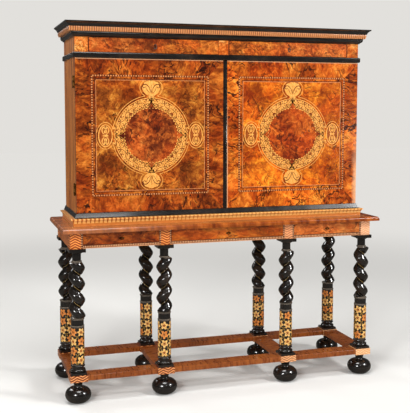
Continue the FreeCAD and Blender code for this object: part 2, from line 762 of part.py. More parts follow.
def build():
    """Makes every piece and writes one file for each node."""
    parts = {}
    make_legs(parts)
    make_stretcher(parts)
    make_apron(parts)
    make_table_top(parts)
    make_case(parts)
    make_mouldings(parts)
    make_doors(parts)
    make_hinges(parts)
    make_lock(parts)
    make_rods(parts)
    make_drawers(parts)
    os.makedirs("parts", exist_ok=True)
    for name, solids in parts.items():
        shape = solids[0] if len(solids) == 1 else Part.makeCompound(solids)
        shape.exportStep(f"parts/{name}.step")
        print(f"{name}: {len(shape.Solids)} solids, {shape.Volume / 1000:.1f} cm3, valid {shape.isValid()}")
    print(f"{len(parts)} nodes, {overall_height:.0f} mm high")


build()
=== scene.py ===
# %% [markdown]
# A cabinet on a twist-legged stand.
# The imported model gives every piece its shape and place. This lesson gives the pieces their looks:
# black polished wood, burr veneers, and the light inlays that a marquetry cutter lays into them.
# Lengths are in metres, x to the right, y to the back and z up, with the origin on the floor.

# %% The frame
import math
import random

import bmesh
import bpy
from mathutils import Matrix, Vector


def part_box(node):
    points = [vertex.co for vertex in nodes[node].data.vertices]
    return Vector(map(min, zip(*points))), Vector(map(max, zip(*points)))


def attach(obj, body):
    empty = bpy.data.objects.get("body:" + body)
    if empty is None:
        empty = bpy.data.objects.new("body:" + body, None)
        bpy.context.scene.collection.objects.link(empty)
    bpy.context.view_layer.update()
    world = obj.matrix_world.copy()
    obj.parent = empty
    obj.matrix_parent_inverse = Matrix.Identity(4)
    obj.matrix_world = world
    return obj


MM = 0.001
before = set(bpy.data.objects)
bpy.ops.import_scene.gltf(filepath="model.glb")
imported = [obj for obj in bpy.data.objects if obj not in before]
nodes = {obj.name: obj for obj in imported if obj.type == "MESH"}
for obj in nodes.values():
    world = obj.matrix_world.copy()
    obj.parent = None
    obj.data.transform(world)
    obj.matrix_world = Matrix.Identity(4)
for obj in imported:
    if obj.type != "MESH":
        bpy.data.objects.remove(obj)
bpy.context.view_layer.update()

# %% [markdown]
# The camera stands a little left of the middle and slightly above the doors' centre, and looks to the right
# and down. Its upright lines lean less than that much tilt gives, so a part of the tilt is a small upward
# shift of the lens. These values came from fitting the cabinet's edges to their places in the picture.

# %% Camera
SENSOR_WIDTH = 36.0
PICTURE_HEIGHT = 413
FOCAL_PIXELS = 814.39
SHIFT_PIXELS = -26.75
CAMERA_PLACE = Vector((-1.449, -4.4343, 1.5432))
CAMERA_YAW = math.radians(17.412)
CAMERA_PITCH = math.radians(4.911)
CAMERA_ROLL = math.radians(0.059)


def aim_camera():
    """Makes the camera from its place, its yaw to the right, its pitch down and its roll."""
    camera = bpy.data.objects.new("camera", bpy.data.cameras.new("camera"))
    camera.data.sensor_width = SENSOR_WIDTH
    camera.data.lens = FOCAL_PIXELS * SENSOR_WIDTH / PICTURE_HEIGHT
    camera.data.shift_y = SHIFT_PIXELS / PICTURE_HEIGHT
    level = math.cos(CAMERA_PITCH)
    forward = Vector((math.sin(CAMERA_YAW) * level, math.cos(CAMERA_YAW) * level, -math.sin(CAMERA_PITCH)))
    side = Vector((math.cos(CAMERA_YAW), -math.sin(CAMERA_YAW), 0))
    above = side.cross(forward)
    right = side * math.cos(CAMERA_ROLL) + above * math.sin(CAMERA_ROLL)
    up = above * math.cos(CAMERA_ROLL) - side * math.sin(CAMERA_ROLL)
    turn = Matrix((right, up, -forward)).transposed()
    camera.matrix_world = Matrix.Translation(CAMERA_PLACE) @ turn.to_4x4()
    bpy.context.scene.collection.objects.link(camera)
    bpy.context.scene.camera = camera
    return camera


camera = aim_camera()
print(f"camera at {tuple(round(v, 3) for v in camera.location)}, lens {camera.data.lens:.1f} mm")

# %% [markdown]
# Shader maths reads best as plain sums. The class below wraps a socket, so that `1 - mask` or `wave * 0.5`
# adds the Math node by itself. Every other node comes from one method, which sets the node's own settings
# first and then its sockets, from numbers or from other sockets.

# %% Sockets that add up


class Sock:
    """A socket of a finish's node tree that takes part in sums."""

    def __init__(self, finish, socket):
        self.finish = finish
        self.socket = socket

    def math(self, operation, *others):
        """A Math node with this socket first."""
        return self.finish.math(operation, self, *others)

    def __add__(self, other):
        return self.math("ADD", other)

    def __radd__(self, other):
        return self.math("ADD", other)

    def __sub__(self, other):
        return self.math("SUBTRACT", other)

    def __rsub__(self, other):
        return self.finish.math("SUBTRACT", other, self)

    def __mul__(self, other):
        return self.math("MULTIPLY", other)

    def __rmul__(self, other):
        return self.math("MULTIPLY", other)

    def __truediv__(self, other):
        return self.math("DIVIDE", other)

    def __mod__(self, other):
        return self.math("FLOORED_MODULO", other)

    def __abs__(self):
        return self.math("ABSOLUTE")

    def __gt__(self, other):
        return self.math("GREATER_THAN", other)

    def __lt__(self, other):
        return self.math("LESS_THAN", other)

    def lower(self, other):
        """The lower of two values."""
        return self.math("MINIMUM", other)

    def higher(self, other):
        """The higher of two values."""
        return self.math("MAXIMUM", other)

    def step(self, start, end):
        """0 below start, 1 past end and a smooth rise between them."""
        values = {"Value": self, "From Min": start, "From Max": end}
        return self.finish.node("ShaderNodeMapRange", {"interpolation_type": "SMOOTHSTEP"}, values)

    def ramp(self, *stops):
        """A colour for each value, from places and colours."""
        return self.finish.node("ShaderNodeValToRGB", {"stops": stops}, {"Fac": self})


def paint(red, green, blue):
    """A colour as a screen shows it, from 0 to 255, as the linear colour that a shader takes."""
    shares = [channel / 255 for channel in (red, green, blue)]
    linear = [c / 12.92 if c <= 0.04045 else ((c + 0.055) / 1.055) ** 2.4 for c in shares]
    return (*linear, 1.0)


def paints(*colours):
    """Several colours at once."""
    return [paint(*colour) for colour in colours]


class Finish:
    """A material, or a world, under construction."""

    def __init__(self, name, world=None):
        self.made = world or bpy.data.materials.new(name)
        self.made.use_nodes = True
        self.tree = self.made.node_tree
        self.shader = self.tree.nodes["Background" if world else "Principled BSDF"]

    def node(self, kind, settings, values, output=0):
        """Adds a node: its settings first, then the numbers and links of its sockets."""
        made = self.tree.nodes.new(kind)
        for key, value in settings.items():
            if key == "stops":
                elements = made.color_ramp.elements
                while len(elements) < len(value):
                    elements.new(1.0)
                for element, (place, colour) in zip(elements, value):
                    element.position = place
                    element.color = colour
            else:
                setattr(made, key, value)
        for key, value in values.items():
            if isinstance(value, Sock):
                self.tree.links.new(value.socket, made.inputs[key])
            else:
                made.inputs[key].default_value = value
        return Sock(self, made.outputs[output])

    def math(self, operation, *values):
        return self.node("ShaderNodeMath", {"operation": operation}, dict(enumerate(values)))

    def place(self):
        """Where a point is on the piece at rest, so that a pattern stays on it when it moves."""
        return self.node("ShaderNodeTexCoord", {}, {}, "Object")

    def ray(self, kind):
        """1 for the light rays of one kind, such as those that start at the camera."""
        return self.node("ShaderNodeLightPath", {}, {}, f"Is {kind} Ray")

    def split(self, vector):
        """The three numbers of a vector."""
        made = self.node("ShaderNodeSeparateXYZ", {}, {0: vector})
        outputs = made.socket.node.outputs
        return [Sock(self, outputs[index]) for index in range(3)]

    def join(self, x, y, z):
        return self.node("ShaderNodeCombineXYZ", {}, {0: x, 1: y, 2: z})

    def vector(self, operation, *values):
        output = "Value" if operation == "DISTANCE" else "Vector"
        return self.node("ShaderNodeVectorMath", {"operation": operation}, dict(enumerate(values)), output)

    def noise(self, vector, scale, detail=2.0, roughness=0.5, distortion=0.0, output="Fac"):
        values = {"Vector": vector, "Scale": scale, "Detail": detail, "Roughness": roughness,
                  "Distortion": distortion}
        return self.node("ShaderNodeTexNoise", {}, values, output)

    def mix(self, share, first, second, blend="MIX"):
        """A colour between two others, or blended onto the first."""
        settings = {"data_type": "RGBA", "blend_type": blend}
        return self.node("ShaderNodeMix", settings, {0: share, 6: first, 7: second}, 2)

    def bump(self, height, distance, strength=1.0):
        values = {"Height": height, "Distance": distance, "Strength": strength}
        return self.node("ShaderNodeBump", {}, values, "Normal")

    def finish(self, **sockets):
        """Sets or links the shader's own sockets and returns what was made."""
        for key, value in sockets.items():
            socket = self.shader.inputs[key.replace("_", " ")]
            if isinstance(value, Sock):
                self.tree.links.new(value.socket, socket)
            else:
                socket.default_value = value
        return self.made


print("sockets, finishes and colours are ready")

# %% [markdown]
# The floor is one wide pale sheet. Far from the furniture it fades into the pale surroundings, so no horizon
# line crosses the picture and nothing stands in the way from behind. Polished black wood shows whatever is
# around it. The floor and the surroundings are therefore bright only to the camera, and gloss sees them
# darker, as it does in a dim studio.

# %% Floor, surroundings and lamps
FLOOR_HALF_WIDTH = 25.0
FADE_START = 1.8
FADE_END = 6.5
LAMP_AIM = Vector((0.0, 0.0, 1.15))
# Each lamp: its place, its width and height, and its power in watts.
LAMPS = {
    "key": ((3.5, -3.05, 3.7), (0.9, 0.9), 166),
    "fill": ((-3.3, -3.9, 2.6), (1.0, 1.0), 126),
    "top": ((-0.5, -0.8, 4.3), (1.5, 1.5), 82),
    "back": ((-1.8, 2.6, 3.2), (1.6, 1.6), 60),
    "window": ((0.0, -3.4, 3.2), (0.6, 0.34), 6.5),
    "left_spark": ((-2.9, -2.4, 1.5), (0.14, 0.14), 4),
    "right_spark": ((2.7, -2.9, 1.3), (0.14, 0.14), 4),
}
AMBIENT_STRENGTH = 0.42
GLOSS_SHARE = 0.14
BLACK = (0.0, 0.0, 0.0, 1.0)
EVEN_LIGHT = paint(250, 249, 247)
SURROUNDINGS = paint(226, 224, 220)
FLOOR_TONES = paints((222, 221, 218), (226, 225, 222))
FLOOR_IN_GLOSS = paint(104, 100, 94)
SPECK_SCALE = 140


def make_floor():
    """A wide flat floor that turns into the tone of the surroundings with distance."""
    mesh = bmesh.new()
    corners = ((-1, -1), (1, -1), (1, 1), (-1, 1))
    mesh.faces.new([mesh.verts.new((x * FLOOR_HALF_WIDTH, y * FLOOR_HALF_WIDTH, 0)) for x, y in corners])
    data = bpy.data.meshes.new("floor")
    mesh.to_mesh(data)
    mesh.free()
    made = bpy.data.objects.new("floor", data)
    bpy.context.scene.collection.objects.link(made)
    f = Finish("floor_paper")
    place = f.place()
    tone = f.mix(f.noise(place, SPECK_SCALE), *FLOOR_TONES)
    far = f.vector("DISTANCE", place, (0, 0, 0)).step(FADE_START, FADE_END) * f.ray("Camera")
    tone = f.mix(f.ray("Glossy"), f.mix(far, tone, BLACK), FLOOR_IN_GLOSS)
    glow = f.mix(far, BLACK, SURROUNDINGS)
    paper = f.finish(Base_Color=tone, Roughness=0.9, Emission_Color=glow, Emission_Strength=1.0)
    data.materials.append(paper)


def make_lamps():
    """Soft lamps, each aimed at the middle of the furniture."""
    for name, (place, size, power) in LAMPS.items():
        light = bpy.data.lights.new(name, "AREA")
        light.shape = "RECTANGLE"
        light.size, light.size_y = size
        light.energy = power
        lamp = bpy.data.objects.new(name, light)
        lamp.location = place
        lamp.rotation_euler = (LAMP_AIM - lamp.location).to_track_quat("-Z", "Y").to_euler()
        bpy.context.scene.collection.objects.link(lamp)


def make_surroundings():
    """A world that lights evenly, that gloss sees as a dim room and the camera as a pale one."""
    world = bpy.data.worlds.new("studio")
    bpy.context.scene.world = world
    f = Finish("studio", world)
    dim = tuple(GLOSS_SHARE * channel for channel in EVEN_LIGHT)
    pale = tuple(channel / AMBIENT_STRENGTH for channel in SURROUNDINGS)
    colour = f.mix(f.ray("Glossy"), EVEN_LIGHT, dim)
    f.finish(Color=f.mix(f.ray("Camera"), colour, pale), Strength=AMBIENT_STRENGTH)


make_floor()
make_lamps()
make_surroundings()
bpy.context.scene.view_settings.view_transform = "Standard"
print(f"floor {2 * FLOOR_HALF_WIDTH:.0f} m wide and {len(LAMPS)} lamps")

# %% [markdown]
# Every wood starts from the same few parts: a straight grain made of noise drawn out along the board, and
# fine pores. Burr wood has no direction. It is cloudy, and dark veins wander through it, because the wood
# grew round many small buds. A cabinet maker sawed it thin and glued it down, then polished it to a gloss.

# %% Woods
POLISH = {"Coat_Weight": 0.22, "Coat_Roughness": 0.1}
TWIST_FOOT = 0.452
TWIST_HEAD = 0.750
PORE_SCALE = 420.0
GRAIN_ACROSS = 95.0
GRAIN_ALONG = 5.0
GRAIN_COARSE = (0.32, 4, 0.62)
GRAIN_FINE = (2.2, 3, 0.6)
BURR_WARP_SCALE = 13.0
BURR_WARP = 0.06
BURR_PATCH_SCALE = 7.5
BURR_STRONG_SCALE = 8.5
BURR_CLOUD_SCALE = 36.0
BURR_RING_SCALE = 9.0
BURR_RINGS = 7.5
BURR_FINER = 2.6
RING_LINE = (0.72, 0.86)
FINE_LINE = (0.80, 0.98)
BURR_EYE_SCALE = 46.0
BURR_BLUSH = (1.04, 0.66, 0.40, 1.0)
BURR_STOPS = (0.37, 0.46, 0.54, 0.63)
BURR_DARKER = 0.08


def grain(f, place, along, seed=0.0, wave=0.012):
    """Straight grain from 0 to 1, drawn out along x, y or z."""
    drift = f.noise(place, 3.5, 2, 0.5, 0, "Color")
    bent = f.vector("MULTIPLY_ADD", drift, (wave, wave, wave), place)
    stretch = tuple(GRAIN_ALONG if axis == along else GRAIN_ACROSS for axis in "xyz")
    drawn = f.vector("MULTIPLY_ADD", bent, stretch, (seed, seed, seed))
    return f.noise(drawn, *GRAIN_COARSE) * 0.68 + f.noise(drawn, *GRAIN_FINE) * 0.32


def burr(f, place, seed):
    """The figure of a burr: its mottled tone, its dark ring lines and its small eyes, each from 0 to 1."""
    moved = f.vector("ADD", place, (seed * 1.7, seed * 0.9, seed * 2.3))
    drift = f.noise(moved, BURR_WARP_SCALE, 3, 0.6, 0, "Color")
    bent = f.vector("MULTIPLY_ADD", drift, (BURR_WARP, BURR_WARP, BURR_WARP), moved)
    patch = f.noise(moved, BURR_PATCH_SCALE, 2, 0.5)
    strong = f.noise(moved, BURR_STRONG_SCALE, 3, 0.55).step(0.40, 0.58)
    rings = (f.noise(bent, BURR_RING_SCALE, 4, 0.5, 0.9) * BURR_RINGS) % 1
    cloud = f.noise(bent, BURR_CLOUD_SCALE, 5, 0.66, 0.6) * 0.58 + patch * 0.42
    cloud = cloud + (rings - 0.5) * strong * -0.12
    line = abs(rings * 2 - 1).step(*RING_LINE)
    finer = (f.noise(bent, BURR_RING_SCALE * BURR_FINER, 3, 0.5, 0.6) * BURR_RINGS) % 1
    fine = abs(finer * 2 - 1).step(*FINE_LINE)
    vein = (line * (0.3 + strong * 0.7)).higher(fine * (0.3 + 0.5 * strong))
    spots = f.node("ShaderNodeTexVoronoi", {}, {"Vector": bent, "Scale": BURR_EYE_SCALE}, "Distance")
    eye = (1 - spots.step(0.06, 0.24)) * f.noise(moved, 11, 2).step(0.5, 0.62)
    return cloud, vein, eye


def burr_colour(f, place, seed, tones, vein_tone, eye_tone, vein_weight=0.9, dark=None):
    """Colours a burr from four tones, dark to light, with its redder parts, veins and eyes over them."""
    cloud, vein, eye = burr(f, place, seed)
    if dark is not None:
        cloud = cloud - dark * BURR_DARKER
    colour = cloud.ramp(*zip(BURR_STOPS, tones))
    blush = f.noise(f.vector("ADD", place, (seed, seed, seed)), 10, 3, 0.6).step(0.42, 0.60)
    colour = f.mix(blush * 0.75, colour, BURR_BLUSH, "MULTIPLY")
    pores = f.noise(place, PORE_SCALE, 2, 0.7)
    colour = f.mix((pores.step(0.55, 0.8)) * 0.22, colour, vein_tone)
    colour = f.mix(eye * 0.6, colour, eye_tone)
    colour = f.mix(vein * vein_weight, colour, vein_tone)
    return colour, cloud


def polished(f, colour, roughness, low=0.16, high=0.34, height=None, **more):
    """A polished veneer: gloss that varies with the wood, and pores that catch the light."""
    rough = roughness * (high - low) + low
    relief = f.bump(height if height is not None else roughness, 0.0003, 0.35)
    return f.finish(Base_Color=colour, Roughness=rough, Normal=relief, **POLISH, **more)


def straight_wood(name, along, tones, seed=0.0, wave=0.012, spread=0.165, plain=False):
    """Straight-grained wood in three tones, polished or, for the unseen boards, left bare. A narrow spread
    makes its streaks stronger."""
    f = Finish(name)
    place = f.place()
    figure = grain(f, place, along, seed, wave)
    colour = figure.ramp(*zip((0.5 - spread, 0.5, 0.5 + spread), tones))
    pores = f.noise(f.vector("MULTIPLY", place, tuple(0.25 if a == along else 2.0 for a in "xyz")), 300, 2)
    colour = f.mix(pores.step(0.56, 0.75) * 0.35, colour, tones[0])
    if plain:
        return f.finish(Base_Color=colour, Roughness=figure * 0.25 + 0.5, Normal=f.bump(figure, 0.0004, 0.4))
    return polished(f, colour, figure, 0.2, 0.4)


def ebonised_wood(name, highlight_levels=()):
    """Pear wood stained black and polished, a little browner where hands and cloths have worn it, with a
    grey painted highlight on the edges of turned rings at the given levels."""
    f = Finish(name)
    place = f.place()
    wear = f.noise(place, 9, 4, 0.6)
    fine = f.noise(f.vector("MULTIPLY", place, (1, 1, 0.2)), 220, 2)
    colour = wear.ramp((0.38, paint(17, 14, 12)), (0.55, paint(27, 22, 18)), (0.72, paint(46, 35, 26)))
    z = f.split(place)[2]
    # Painted highlight: grey lines on the ring edges at the given levels.
    for level in highlight_levels:
        edge = (abs(z - level) < RING_HIGHLIGHT_HALF_WIDTH) * (wear * 0.5 + 0.4)
        colour = f.mix(edge, colour, paint(168, 152, 134))
    rough = wear * 0.16 + fine * 0.1 + 0.1
    return f.finish(Base_Color=colour, Roughness=rough, Normal=f.bump(fine, 0.0002, 0.3),
                    Coat_Weight=0.7, Coat_Roughness=0.08)


RING_HEIGHT = 0.006
# Half the height of each painted highlight line on the rings.
RING_HIGHLIGHT_HALF_WIDTH = 0.0012
sleeve_low, sleeve_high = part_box("floral_sleeves")
# The rim levels of the sleeves and the rings round the twist, where the legs get a painted highlight.
RING_HIGHLIGHT_LEVELS = (sleeve_low.z, sleeve_high.z, sleeve_high.z + RING_HEIGHT, TWIST_FOOT - RING_HEIGHT,
                 TWIST_FOOT, TWIST_HEAD, TWIST_HEAD + RING_HEIGHT)
ebony = ebonised_wood("ebonised")
leg_ebony = ebonised_wood("leg_ebonised", RING_HIGHLIGHT_LEVELS)
oak_finish = straight_wood("oak", "x", paints((104, 72, 42), (140, 102, 64), (168, 128, 86)),
                           plain=True)
oak_upright = straight_wood("oak_upright", "z", paints((98, 68, 40), (132, 96, 60), (158, 120, 80)),
                            3.0, plain=True)
side_walnut = straight_wood("case_walnut", "z",
                            paints((126, 60, 14), (184, 102, 34), (232, 154, 72)), 7.0, 0.05, 0.125)
print("ebony, oak and walnut are mixed")

# %% [markdown]
# The doors carry the show veneers: a frame of bold dark-veined walnut, cut across its grain on each side
# and mitred at the corners, and inside it a panel of paler, softer burr. One material holds them all. It
# knows where a point of the door is and picks the wood that was laid there.

# %% Door veneers
door_low, door_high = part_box("left_door")
other_low, other_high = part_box("right_door")
DOOR_FRONT = door_low.y
PATTERN_X = -(door_low.x + door_high.x) / 2
PATTERN_Z = (door_low.z + door_high.z) / 2
FRAME_HALF_WIDTH = 0.320
FRAME_HALF_HEIGHT = 0.317
PANEL_HALF_WIDTH = 0.299
PANEL_HALF_HEIGHT = 0.294
FACE_DEPTH = 0.0012
HEART_FADE = (0.2, 1.25)
# Painted light on the right door: a painted pool of light on the lower middle of its face, and painted
# highlights up the lower parts of its outer and meeting edges. The pale tone also draws a plain line along
# the top edge of both doors, and the brightening tint also warms the golden parts of the frieze.
GOLD_FIGURE_AND_PAINTED_GLOW = (1.35, 1.5, 1.1, 1.0)
PAINTED_GLOW_PLACE = (-0.03, -0.22)
PAINTED_GLOW_FADE = (0.08, 0.36)
PALE_LINE_AND_SHEEN = paint(222, 168, 126)
EDGE_SHEEN_FADE = (0.014, 0.046)
EDGE_SHEEN_TOP = (1.12, 1.46)
TOP_LINE = 0.0045
MEETING_HIGHLIGHT_WIDTH = 0.004
MEETING_HIGHLIGHT_TOP = (1.25, 1.7)
PLAIN_WALNUT = paints((104, 58, 26), (138, 80, 38), (166, 102, 54))


def heartwood(f, place, centre, places):
    """1 in the darker heartwood, which lies at some places of a door, in millimetres from its middle."""
    dark = None
    for u, w, radius in places:
        middle = (centre + u * MM, DOOR_FRONT, PATTERN_Z + w * MM)
        start, end = (radius * MM * share for share in HEART_FADE)
        near = 1 - f.vector("DISTANCE", place, middle).step(start, end)
        dark = near if dark is None else dark.higher(near)
    return dark


def door_finish(name, centre, seed, border_tones, panel_tones, vein, places, painted_light_share):
    """A door's face veneers by place, and plain walnut on its edges and inside. A pale line runs along the
    top edge of each door. On the door that is given a share of painted light, a painted pool of light
    brightens the lower middle of the face, and painted highlights run up the lower parts of its outer edge
    and of its meeting edge."""
    f = Finish(name)
    place = f.place()
    x, y, z = f.split(place)
    across = abs(x - centre)
    above = abs(z - PATTERN_Z)
    flank = (across - FRAME_HALF_WIDTH) > (above - FRAME_HALF_HEIGHT)
    squeeze = f.join(x * (1 - flank * 0.4) + flank * 4, y, z * (0.7 + flank * 0.4))
    dark = heartwood(f, place, centre, places)
    border, cloud = burr_colour(f, squeeze, seed, border_tones, vein, paint(70, 26, 8), 0.95, dark)
    panel = burr_colour(f, place, seed + 5.3, panel_tones, vein, paint(104, 52, 16), 0.7, dark)[0]
    inside = (across < PANEL_HALF_WIDTH) * (above < PANEL_HALF_HEIGHT)
    face = f.mix(inside, border, panel)
    # A painted pool of light brightens the lower middle of the right door's face.
    painted_lighting = f.vector("DISTANCE", place, (centre + PAINTED_GLOW_PLACE[0], DOOR_FRONT, PATTERN_Z + PAINTED_GLOW_PLACE[1]))
    face = f.mix((1 - painted_lighting.step(*PAINTED_GLOW_FADE)) * painted_light_share, face, GOLD_FIGURE_AND_PAINTED_GLOW, "MULTIPLY")
    patchy = f.noise(f.vector("MULTIPLY", place, (1, 1, 0.3)), 40, 3, 0.6) * 0.03
    # A painted highlight runs up the lower part of the right door's outer edge.
    painted_edge_sheen = (1 - (other_high.x - x + patchy).step(*EDGE_SHEEN_FADE)) * (1 - z.step(*EDGE_SHEEN_TOP))
    face = f.mix(painted_edge_sheen * painted_light_share, face, PALE_LINE_AND_SHEEN)
    face = f.mix((z > door_high.z - TOP_LINE) * 0.7, face, PALE_LINE_AND_SHEEN)
    # A painted highlight runs up the lower part of the right door's meeting edge.
    meeting = (x < other_low.x + MEETING_HIGHLIGHT_WIDTH) * (1 - z.step(*MEETING_HIGHLIGHT_TOP))
    face = f.mix(meeting * painted_light_share, face, PALE_LINE_AND_SHEEN)
    plain = grain(f, place, "z", seed, 0.02).ramp(*zip((0.35, 0.5, 0.66), PLAIN_WALNUT))
    front = y < (DOOR_FRONT + FACE_DEPTH)
    return polished(f, f.mix(front, plain, face), cloud, 0.14, 0.32)


LEFT_HEARTWOOD = ((-130, 200, 85), (-275, 210, 70), (-245, -145, 95), (190, -190, 85), (205, 240, 60),
                  (-400, 70, 75), (-390, -230, 70), (360, 110, 70), (350, -170, 60), (20, 10, 60))
RIGHT_HEARTWOOD = ((215, 195, 90), (-225, 240, 65), (200, -185, 80), (-365, 60, 60), (350, 150, 60),
                   (100, 360, 70), (-70, 20, 80), (340, -240, 60))
# Each door's last number is its share of painted light: none on the left door, most of it on the right.
left_door_finish = door_finish(
    "left_door_marquetry", -PATTERN_X, 2.0,
    paints((84, 30, 4), (126, 53, 8), (168, 82, 17), (208, 120, 38)),
    paints((94, 40, 7), (136, 66, 15), (178, 102, 28), (218, 146, 58)),
    paint(36, 10, 2), LEFT_HEARTWOOD, 0.0)
right_door_finish = door_finish(
    "right_door_marquetry", PATTERN_X, 9.4,
    paints((124, 46, 5), (164, 73, 11), (202, 105, 23), (238, 148, 52)),
    paints((122, 46, 5), (164, 75, 11), (202, 106, 19), (238, 150, 44)),
    paint(52, 16, 2), RIGHT_HEARTWOOD, 0.8)
disc_tones = paints((70, 22, 5), (118, 48, 12), (170, 84, 26), (214, 126, 52))
right_disc_tones = paints((76, 20, 2), (122, 42, 4), (168, 72, 12), (210, 106, 28))
print(f"door pattern centred {PATTERN_X:.3f} m either side, {PATTERN_Z:.3f} m up")

# %% [markdown]
# The narrower parts repeat small patterns. The drawer fronts and the table are burr again. The posts and
# the stretcher blocks are herringbone: thin strips of two woods laid in zigzags. A row of light teeth runs
# round the plinth, and a ripple moulding, which was scraped through a shaped cutter, under the cornice.

# %% Frieze, apron and table veneers
def burr_finish(name, seed, tones, vein, squeeze=(1, 1, 1), weight=0.8, golden=None):
    """One sheet of burr veneer, drawn out along an axis where squeeze is below 1, with a golden part."""
    f = Finish(name)
    place = f.place()
    laid = f.vector("MULTIPLY", place, squeeze)
    colour, cloud = burr_colour(f, laid, seed, tones, vein, paint(80, 34, 12), weight)
    if golden is not None:
        middle, radius = golden
        near = 1 - f.vector("DISTANCE", place, middle).step(radius * 0.3, radius)
        colour = f.mix(near * 0.7, colour, GOLD_FIGURE_AND_PAINTED_GLOW, "MULTIPLY")
    return polished(f, colour, cloud, 0.16, 0.34)


FRIEZE_TONES = paints((96, 38, 8), (146, 68, 18), (188, 98, 32), (222, 134, 56))
BLOCK_TONES = paints((146, 62, 8), (192, 102, 28), (228, 144, 60), (250, 186, 108))
APRON_TONES = paints((80, 28, 2), (122, 50, 6), (156, 72, 12), (190, 102, 28))
TABLE_TONES = paints((58, 28, 8), (90, 48, 16), (122, 70, 28), (156, 98, 46))
FRIEZE_MIDDLE = sum(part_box("frieze_left_drawer_front"), Vector()) / 2
frieze_left = burr_finish("frieze_left_veneer", 21.0, FRIEZE_TONES, paint(70, 28, 8), (1.3, 1, 1.6), 0.8,
                          (Vector((-0.19, FRIEZE_MIDDLE.y, FRIEZE_MIDDLE.z - 0.02)), 0.24))
frieze_right = burr_finish("frieze_right_veneer", 25.0, FRIEZE_TONES, paint(80, 32, 8), (1.3, 1, 1.6), 0.8,
                           (Vector((0.16, FRIEZE_MIDDLE.y, FRIEZE_MIDDLE.z)), 0.24))
frieze_block = burr_finish("frieze_block_veneer", 31.0, BLOCK_TONES, paint(104, 42, 8), (1.5, 1, 1.5), 0.8)
apron_left = burr_finish("apron_left_veneer", 41.0, APRON_TONES, paint(64, 24, 8), (0.7, 1, 1.3))
apron_middle = burr_finish("apron_middle_veneer", 47.0,
                           paints((128, 56, 6), (162, 78, 14), (188, 100, 24), (214, 128, 42)),
                           paint(84, 34, 10), (0.7, 1, 1.3))
apron_right = burr_finish("apron_right_veneer", 53.0,
                          paints((146, 74, 26), (180, 98, 40), (206, 122, 54), (230, 150, 78)),
                          paint(96, 42, 14), (0.7, 1, 1.3))


BANDING_WIDTH = 0.062
STRINGING_WIDTH = 0.004
BANDING_TONES = paints((94, 34, 4), (134, 60, 10), (170, 88, 26))
# Where the painted reflection on the table's border fades out, along x.
BANDING_SHEEN_SPAN = (-0.75, -0.1)


def table_finish():
    """The table's burr, framed by a darker border that is laid across the edge. The border is painted paler
    towards the left, as a painted reflection.
    """
    low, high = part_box("table_top")
    f = Finish("table_veneer")
    place = f.place()
    x, y, z = f.split(place)
    to_side = high.x - abs(x)
    middle = (low.y + high.y) / 2
    to_edge = (high.y - middle) - abs(y - middle)
    nearest = to_side.lower(to_edge)
    colour, cloud = burr_colour(f, place, 61.0, TABLE_TONES, paint(56, 26, 10), paint(72, 34, 12), 0.75)
    flank = to_side < to_edge
    cross = f.join(x * (flank * -0.9 + 1), y * (flank * 0.9 + 0.1), z * 0.3)
    figure = f.noise(cross, 34, 4, 0.5)
    banding = figure.ramp(*zip((0.34, 0.5, 0.66), BANDING_TONES))
    # Painted reflection: the border turns paler towards the left.
    banding = f.mix((1 - x.step(*BANDING_SHEEN_SPAN)) * 0.22, banding, paint(214, 152, 108))
    colour = f.mix(nearest < BANDING_WIDTH, colour, banding)
    inlay = (nearest > BANDING_WIDTH) * (nearest < BANDING_WIDTH + STRINGING_WIDTH)
    colour = f.mix(inlay, colour, paint(204, 152, 92))
    return polished(f, colour, cloud, 0.16, 0.34)


ZIGZAG_WIDTH = 0.058
ZIGZAG_RISE = 0.26
STRIP_START = (0.46, 0.54)
STRIP_END = (0.92, 1.0)
# Where the painted sheen on the herringbone rises, along x.
PAINTED_SHEEN_SIDE = (0.0, 0.85)
TWO_TONES = (0.3, 0.7)
TOOTH_SOFTNESS = 0.08
RIGHT_FADE_SPAN = (-0.5, 0.0)
CROSS_SCALES = (95, 22)
CROSS_STOPS = (0.34, 0.48, 0.64)


def herringbone(name, light, dark, sheen_tones, pitch):
    """Zigzags of two woods: strips that slope up and down from side to side. Towards the right both woods
    take paler tones, a painted sheen where the light falls on them."""
    f = Finish(name)
    place = f.place()
    x, y, z = f.split(place)
    zigzag = abs(((x / ZIGZAG_WIDTH) % 1) * 2 - 1) * ZIGZAG_WIDTH * ZIGZAG_RISE
    strip = ((z + zigzag) / pitch) % 1
    band = strip.step(*STRIP_START) * (1 - strip.step(*STRIP_END))
    figure = f.noise(place, 130, 3, 0.6)
    # Painted sheen: towards the right the strips shift to the paler third set of tones.
    painted_lighting = x.step(*PAINTED_SHEEN_SIDE)
    pale = f.mix(painted_lighting, figure.ramp(*zip(TWO_TONES, light)), figure.ramp(*zip(TWO_TONES, sheen_tones)))
    deep = figure.ramp(*zip(TWO_TONES, dark))
    deep = f.mix(painted_lighting * 0.8, deep, sheen_tones[0])
    return polished(f, f.mix(band, deep, pale), figure, 0.2, 0.36, band)


